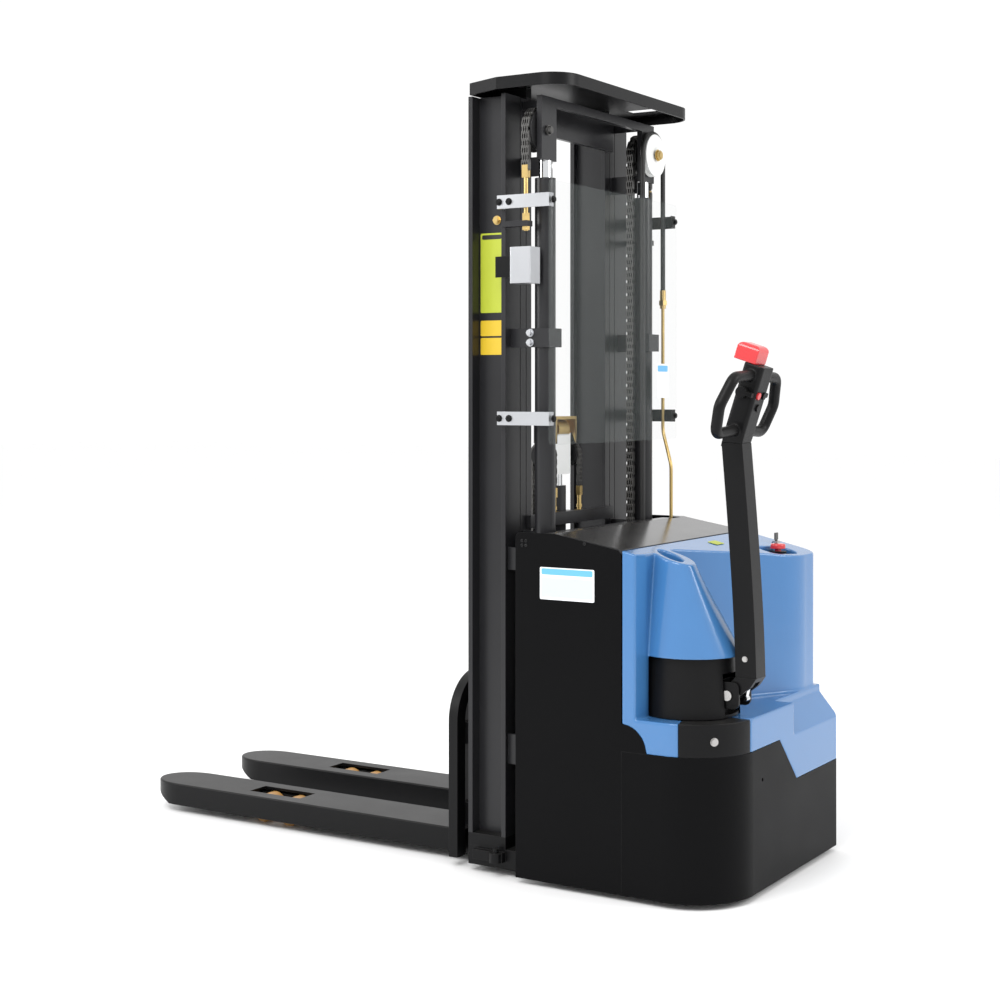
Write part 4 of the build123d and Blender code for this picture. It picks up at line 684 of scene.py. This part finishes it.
class STACKER_OT_free_chains(Operator):
    """Make the leaf chains over the free-lift crosshead"""

    bl_idname = "stacker.free_chains"
    bl_label = "Free-lift chains"

    def execute(self, context):
        pitch = context.scene.stacker_sizes.free_pitch
        low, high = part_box("free_lift_chains")
        half_plate, wheel_z, anchor_end, chain_y = 0.006, 1.117, 1.027, 0.072
        centre_x, radius = (low.x + high.x) / 2, (high.x - low.x) / 2 - half_plate
        plate, plate_end_r, across = 0.0021, 0.0052, 0.0172
        outer_layers, inner_layers = (-0.0072, -0.0024, 0.0024, 0.0072), (-0.0048, 0.0, 0.0048)
        links = [link_shape("free_link_outer", pitch, plate_end_r, outer_layers, plate, across, True, True),
                 link_shape("free_link_inner", pitch, plate_end_r, inner_layers, plate, across, False, True)]
        tree = chain_tree("Free-lift chain", "Y", links, finishes()["steel"])
        paths = [over_wheel(wheel_z, radius, low.z + pitch, anchor_end + pitch * 0.6,
                            lambda off, z, y=y: (centre_x + off, y, z)) for y in (-chain_y, chain_y)]
        mesh = baked("free_lift_leaf_chains", path_curve("free_paths", paths),
                     [("NODES", {"node_group": tree, **input_ids(tree, Pitch=pitch)})])
        add_piece("free_lift_leaf_chains", mesh, "free_lift_head", finishes()["steel"],
                  ("free_lift_chains",))
        return {"FINISHED"}


class STACKER_OT_bolts(Operator):
    """Make the bolts on the guard, clamps, panels, corner cover, sheaves and tiller"""

    bl_idname = "stacker.bolts"
    bl_label = "Bolts"

    def execute(self, context):
        f, head = finishes(), context.scene.stacker_sizes.bolt_radius
        guard_x, bracket_y, guard_heights = 0.480, -0.3691, (1.226, 1.802)
        guard = [((guard_x, y, z), (1, 0, 0)) for y in (-0.355, 0.365) for z in guard_heights]
        guard += [((x, bracket_y, z), (0, -1, 0)) for x in (0.3215, 0.352) for z in guard_heights]
        panel_y = 0.384
        screw_places = (0.402, 0.905), (0.402, 0.893), (0.414, 0.905), (0.414, 0.893), (0.59, 0.905)
        screws = [((x, y, z), (0, y, 0)) for y in (-panel_y, panel_y) for x, z in screw_places]
        clamp_x, clamp_y = 0.390, -0.321
        clamp = [((clamp_x, clamp_y, z), (0, -1, 0)) for z in (1.428, 1.454)]
        rail_x, rail_y, rail_z = 0.279, 0.3101, 1.761
        rail = [((rail_x, side * rail_y, rail_z), (0, side, 0)) for side in (-1, 1)]
        steer_x, steer_y, cover_r, corner_z = 0.809, -0.21, 0.174, 0.422
        reach = cover_r * cos(pi / 4)
        corner = [((steer_x + reach, steer_y - reach, corner_z), (1, -1, 0))]
        pulley_x, sheave_x, sheave_y, sheave_z = 0.458, 0.434, 0.298, 1.994
        pulley = [((pulley_x, sheave_y, sheave_z), (1, 0, 0))]
        sheave = [((sheave_x, -sheave_y, sheave_z), (1, 0, 0))]
        arm_x, arm_z = 0.973, 0.62
        arm = [((arm_x, y, arm_z), (0, side, 0)) for y, side in ((-0.2391, -1), (-0.1809, 1))]
        rows = (
            ("guard_bolts", "chassis", guard, head, 0.0045, 6, "black_paint", "black_paint", ("fasteners",)),
            ("panel_screws", "chassis", screws, 0.0034, 0.0012, 20, "black_paint", "black_paint", ()),
            ("clamp_bolts", "chassis", clamp, 0.0085, 0.0085, 6, "zinc", "zinc", ()),
            ("rail_bolts", "chassis", rail, 0.01, 0.007, 6, "brass", "brass", ()),
            ("corner_bolt", "chassis", corner, 0.0085, 0.0035, 20, "silver", "zinc", ()),
            ("pulley_bolt", "middle_stage", pulley, 0.014, 0.009, 6, "brass", "brass", ()),
            ("sheave_bolts", "middle_stage", sheave, 0.011, 0.007, 6, "steel", "steel", ()),
            ("arm_screws", "tiller", arm, 0.006, 0.002, 16, "silver", "zinc", ()),
        )
        for name, body, spots, radius, height, sides, finish_name, slot, nodes in rows:
            points = bpy.data.meshes.new(name + "_points")
            points.from_pydata([spot for spot, _ in spots], [], [])
            aim = points.attributes.new("aim", "FLOAT_VECTOR", "POINT")
            for datum, (_, direction) in zip(aim.data, spots):
                datum.vector = Vector(direction).normalized()
            tree = bolt_tree(f[finish_name])
            settings = input_ids(tree, Head_radius=radius, Head_height=height, Sides=sides,
                                 Washer_height=min(0.0015, height / 3))
            mesh = baked(name, points, [("NODES", {"node_group": tree, **settings})])
            add_piece(name, mesh, body, f[finish_name], nodes)
        return {"FINISHED"}


class STACKER_OT_stickers(Operator):
    """Make the blank stickers on the mast, side panel, guard and cover"""

    bl_idname = "stacker.stickers"
    bl_label = "Stickers"

    def execute(self, context):
        f, lift, corner = finishes(), context.scene.stacker_sizes.sticker_lift, 0.004
        right, up, across = (1, 0, 0), (0, 0, 1), (0, 1, 0)
        web_x, web_y, plate_x, panel_y = 0.262, -0.3101, 0.538, -0.3841
        guard_x, guard_y = 0.4801, 0.285
        cover_x, cover_y, cover_fall, cover_skin = 0.75, 0.072, 0.229, 0.0012
        slope = Vector((1, 0, -cover_fall)).normalized()
        cover_z = 0.893 - cover_fall * (cover_x - 0.697)
        band_at, cover_at = (guard_x + lift, guard_y, 1.365), (cover_x, cover_y, cover_z + cover_skin)
        rows = (
            ("mast_sticker", (web_x, web_y, 1.619), right, up, (0.072, 0.216), "label_green"),
            ("mast_sticker_band", (web_x, web_y - lift, 1.716), right, up, (0.062, 0.012), "label_black"),
            ("caution_sticker_upper", (web_x, web_y, 1.469), right, up, (0.072, 0.042), "label_yellow"),
            ("caution_sticker_lower", (web_x, web_y, 1.42), right, up, (0.072, 0.046), "label_yellow"),
            ("name_plate", (plate_x, panel_y, 0.797), right, up, (0.162, 0.084), "label_white"),
            ("name_plate_band", (plate_x, panel_y - lift, 0.828), right, up, (0.152, 0.016), "label_blue"),
            ("name_plate_panel", (plate_x, panel_y - lift, 0.787), right, up, (0.152, 0.05), "label_grey"),
            ("guard_sticker", (guard_x, guard_y, 1.329), across, up, (0.072, 0.1), "label_white"),
            ("guard_sticker_band", band_at, across, up, (0.064, 0.018), "label_blue"),
            ("cover_sticker", cover_at, slope, across, (0.03, 0.05), "label_green"),
        )
        for name, centre, along, upward, size, finish_name in rows:
            mesh = rounded_plate(name, centre, along, upward, size, corner, lift)
            add_piece(name, mesh, "chassis", f[finish_name])
        return {"FINISHED"}


class STACKER_OT_stage(Operator):
    """Make the pale floor, the soft lights and the camera"""

    bl_idname = "stacker.stage"
    bl_label = "Stage"

    def execute(self, context):
        scene, studio = context.scene, context.scene.stacker_studio
        floor_mesh = bpy.data.meshes.new("studio_floor")
        half = 30
        floor_mesh.from_pydata([(-half, -half, 0), (half, -half, 0), (half, half, 0), (-half, half, 0)], [],
                               [(0, 1, 2, 3)])
        floor = bpy.data.objects.new("studio_floor", floor_mesh)
        scene.collection.objects.link(floor)
        floor_mesh.materials.append(finish("Studio floor", tuple(scene.stacker_colours.floor), 0.6, grain=40,
                                           bump=0.0, drift=0.01))

        scene.view_settings.view_transform = "Standard"
        world = bpy.data.worlds.new("Pale surround")
        scene.world = world
        world.use_nodes = True
        background = world.node_tree.nodes["Background"]
        background.inputs["Color"].default_value = (1, 1, 1, 1)
        background.inputs["Strength"].default_value = studio.sky

        middle = Vector((0.2, 0.0, 1.0))
        for name, place, size, power in (
            ("key_light", (0.4, -4.2, 4.6), 3.2, studio.key_power),
            ("side_light", (5.0, 1.2, 3.0), 2.4, studio.rim_power),
            ("far_light", (-3.5, -3.0, 2.6), 2.0, studio.rim_power * 0.7),
        ):
            light = bpy.data.lights.new(name, "AREA")
            light.shape = "DISK"
            light.size = size
            light.energy = power
            lamp = bpy.data.objects.new(name, light)
            lamp.location = place
            lamp.rotation_euler = (middle - lamp.location).to_track_quat("-Z", "Y").to_euler()
            scene.collection.objects.link(lamp)

        lens = bpy.data.cameras.new("studio_camera")
        lens.sensor_width, lens.lens, lens.shift_y = 36.0, 62.344, -0.1079
        camera = bpy.data.objects.new("studio_camera", lens)
        camera.location = (2.76085, -4.28611, 1.29599)
        camera.rotation_euler = (radians(90), 0, radians(31.88))
        scene.collection.objects.link(camera)
        scene.camera = camera
        return {"FINISHED"}


class STACKER_PT_panel(Panel):
    """Sidebar panel that lists the stacker's operators and settings"""

    bl_idname = "STACKER_PT_panel"
    bl_label = "Pedestrian stacker"
    bl_space_type = "VIEW_3D"
    bl_region_type = "UI"
    bl_category = "Stacker"

    def draw(self, context):
        for maker in OPERATORS:
            self.layout.operator(maker.bl_idname)
        for group in ("stacker_colours", "stacker_sizes", "stacker_studio"):
            settings = getattr(context.scene, group)
            box = self.layout.box()
            for name in settings.bl_rna.properties.keys():
                if name not in ("rna_type", "name"):
                    box.prop(settings, name)


SETTINGS = {"stacker_colours": StackerColours, "stacker_sizes": StackerSizes, "stacker_studio": StackerStudio}
OPERATORS = (STACKER_OT_frame_finishes, STACKER_OT_mouldings, STACKER_OT_side_chains, STACKER_OT_free_chains,
             STACKER_OT_bolts, STACKER_OT_stickers, STACKER_OT_stage)


def register():
    for group in (*SETTINGS.values(), *OPERATORS, STACKER_PT_panel):
        bpy.utils.register_class(group)
    for name, group in SETTINGS.items():
        setattr(bpy.types.Scene, name, PointerProperty(type=group))


def unregister():
    for name in SETTINGS:
        delattr(bpy.types.Scene, name)
    for group in reversed((*SETTINGS.values(), *OPERATORS, STACKER_PT_panel)):
        bpy.utils.unregister_class(group)


def main():
    register()
    for maker in OPERATORS:
        category, action = maker.bl_idname.split(".")
        getattr(getattr(bpy.ops, category), action)()


if __name__ == "__main__":
    main()
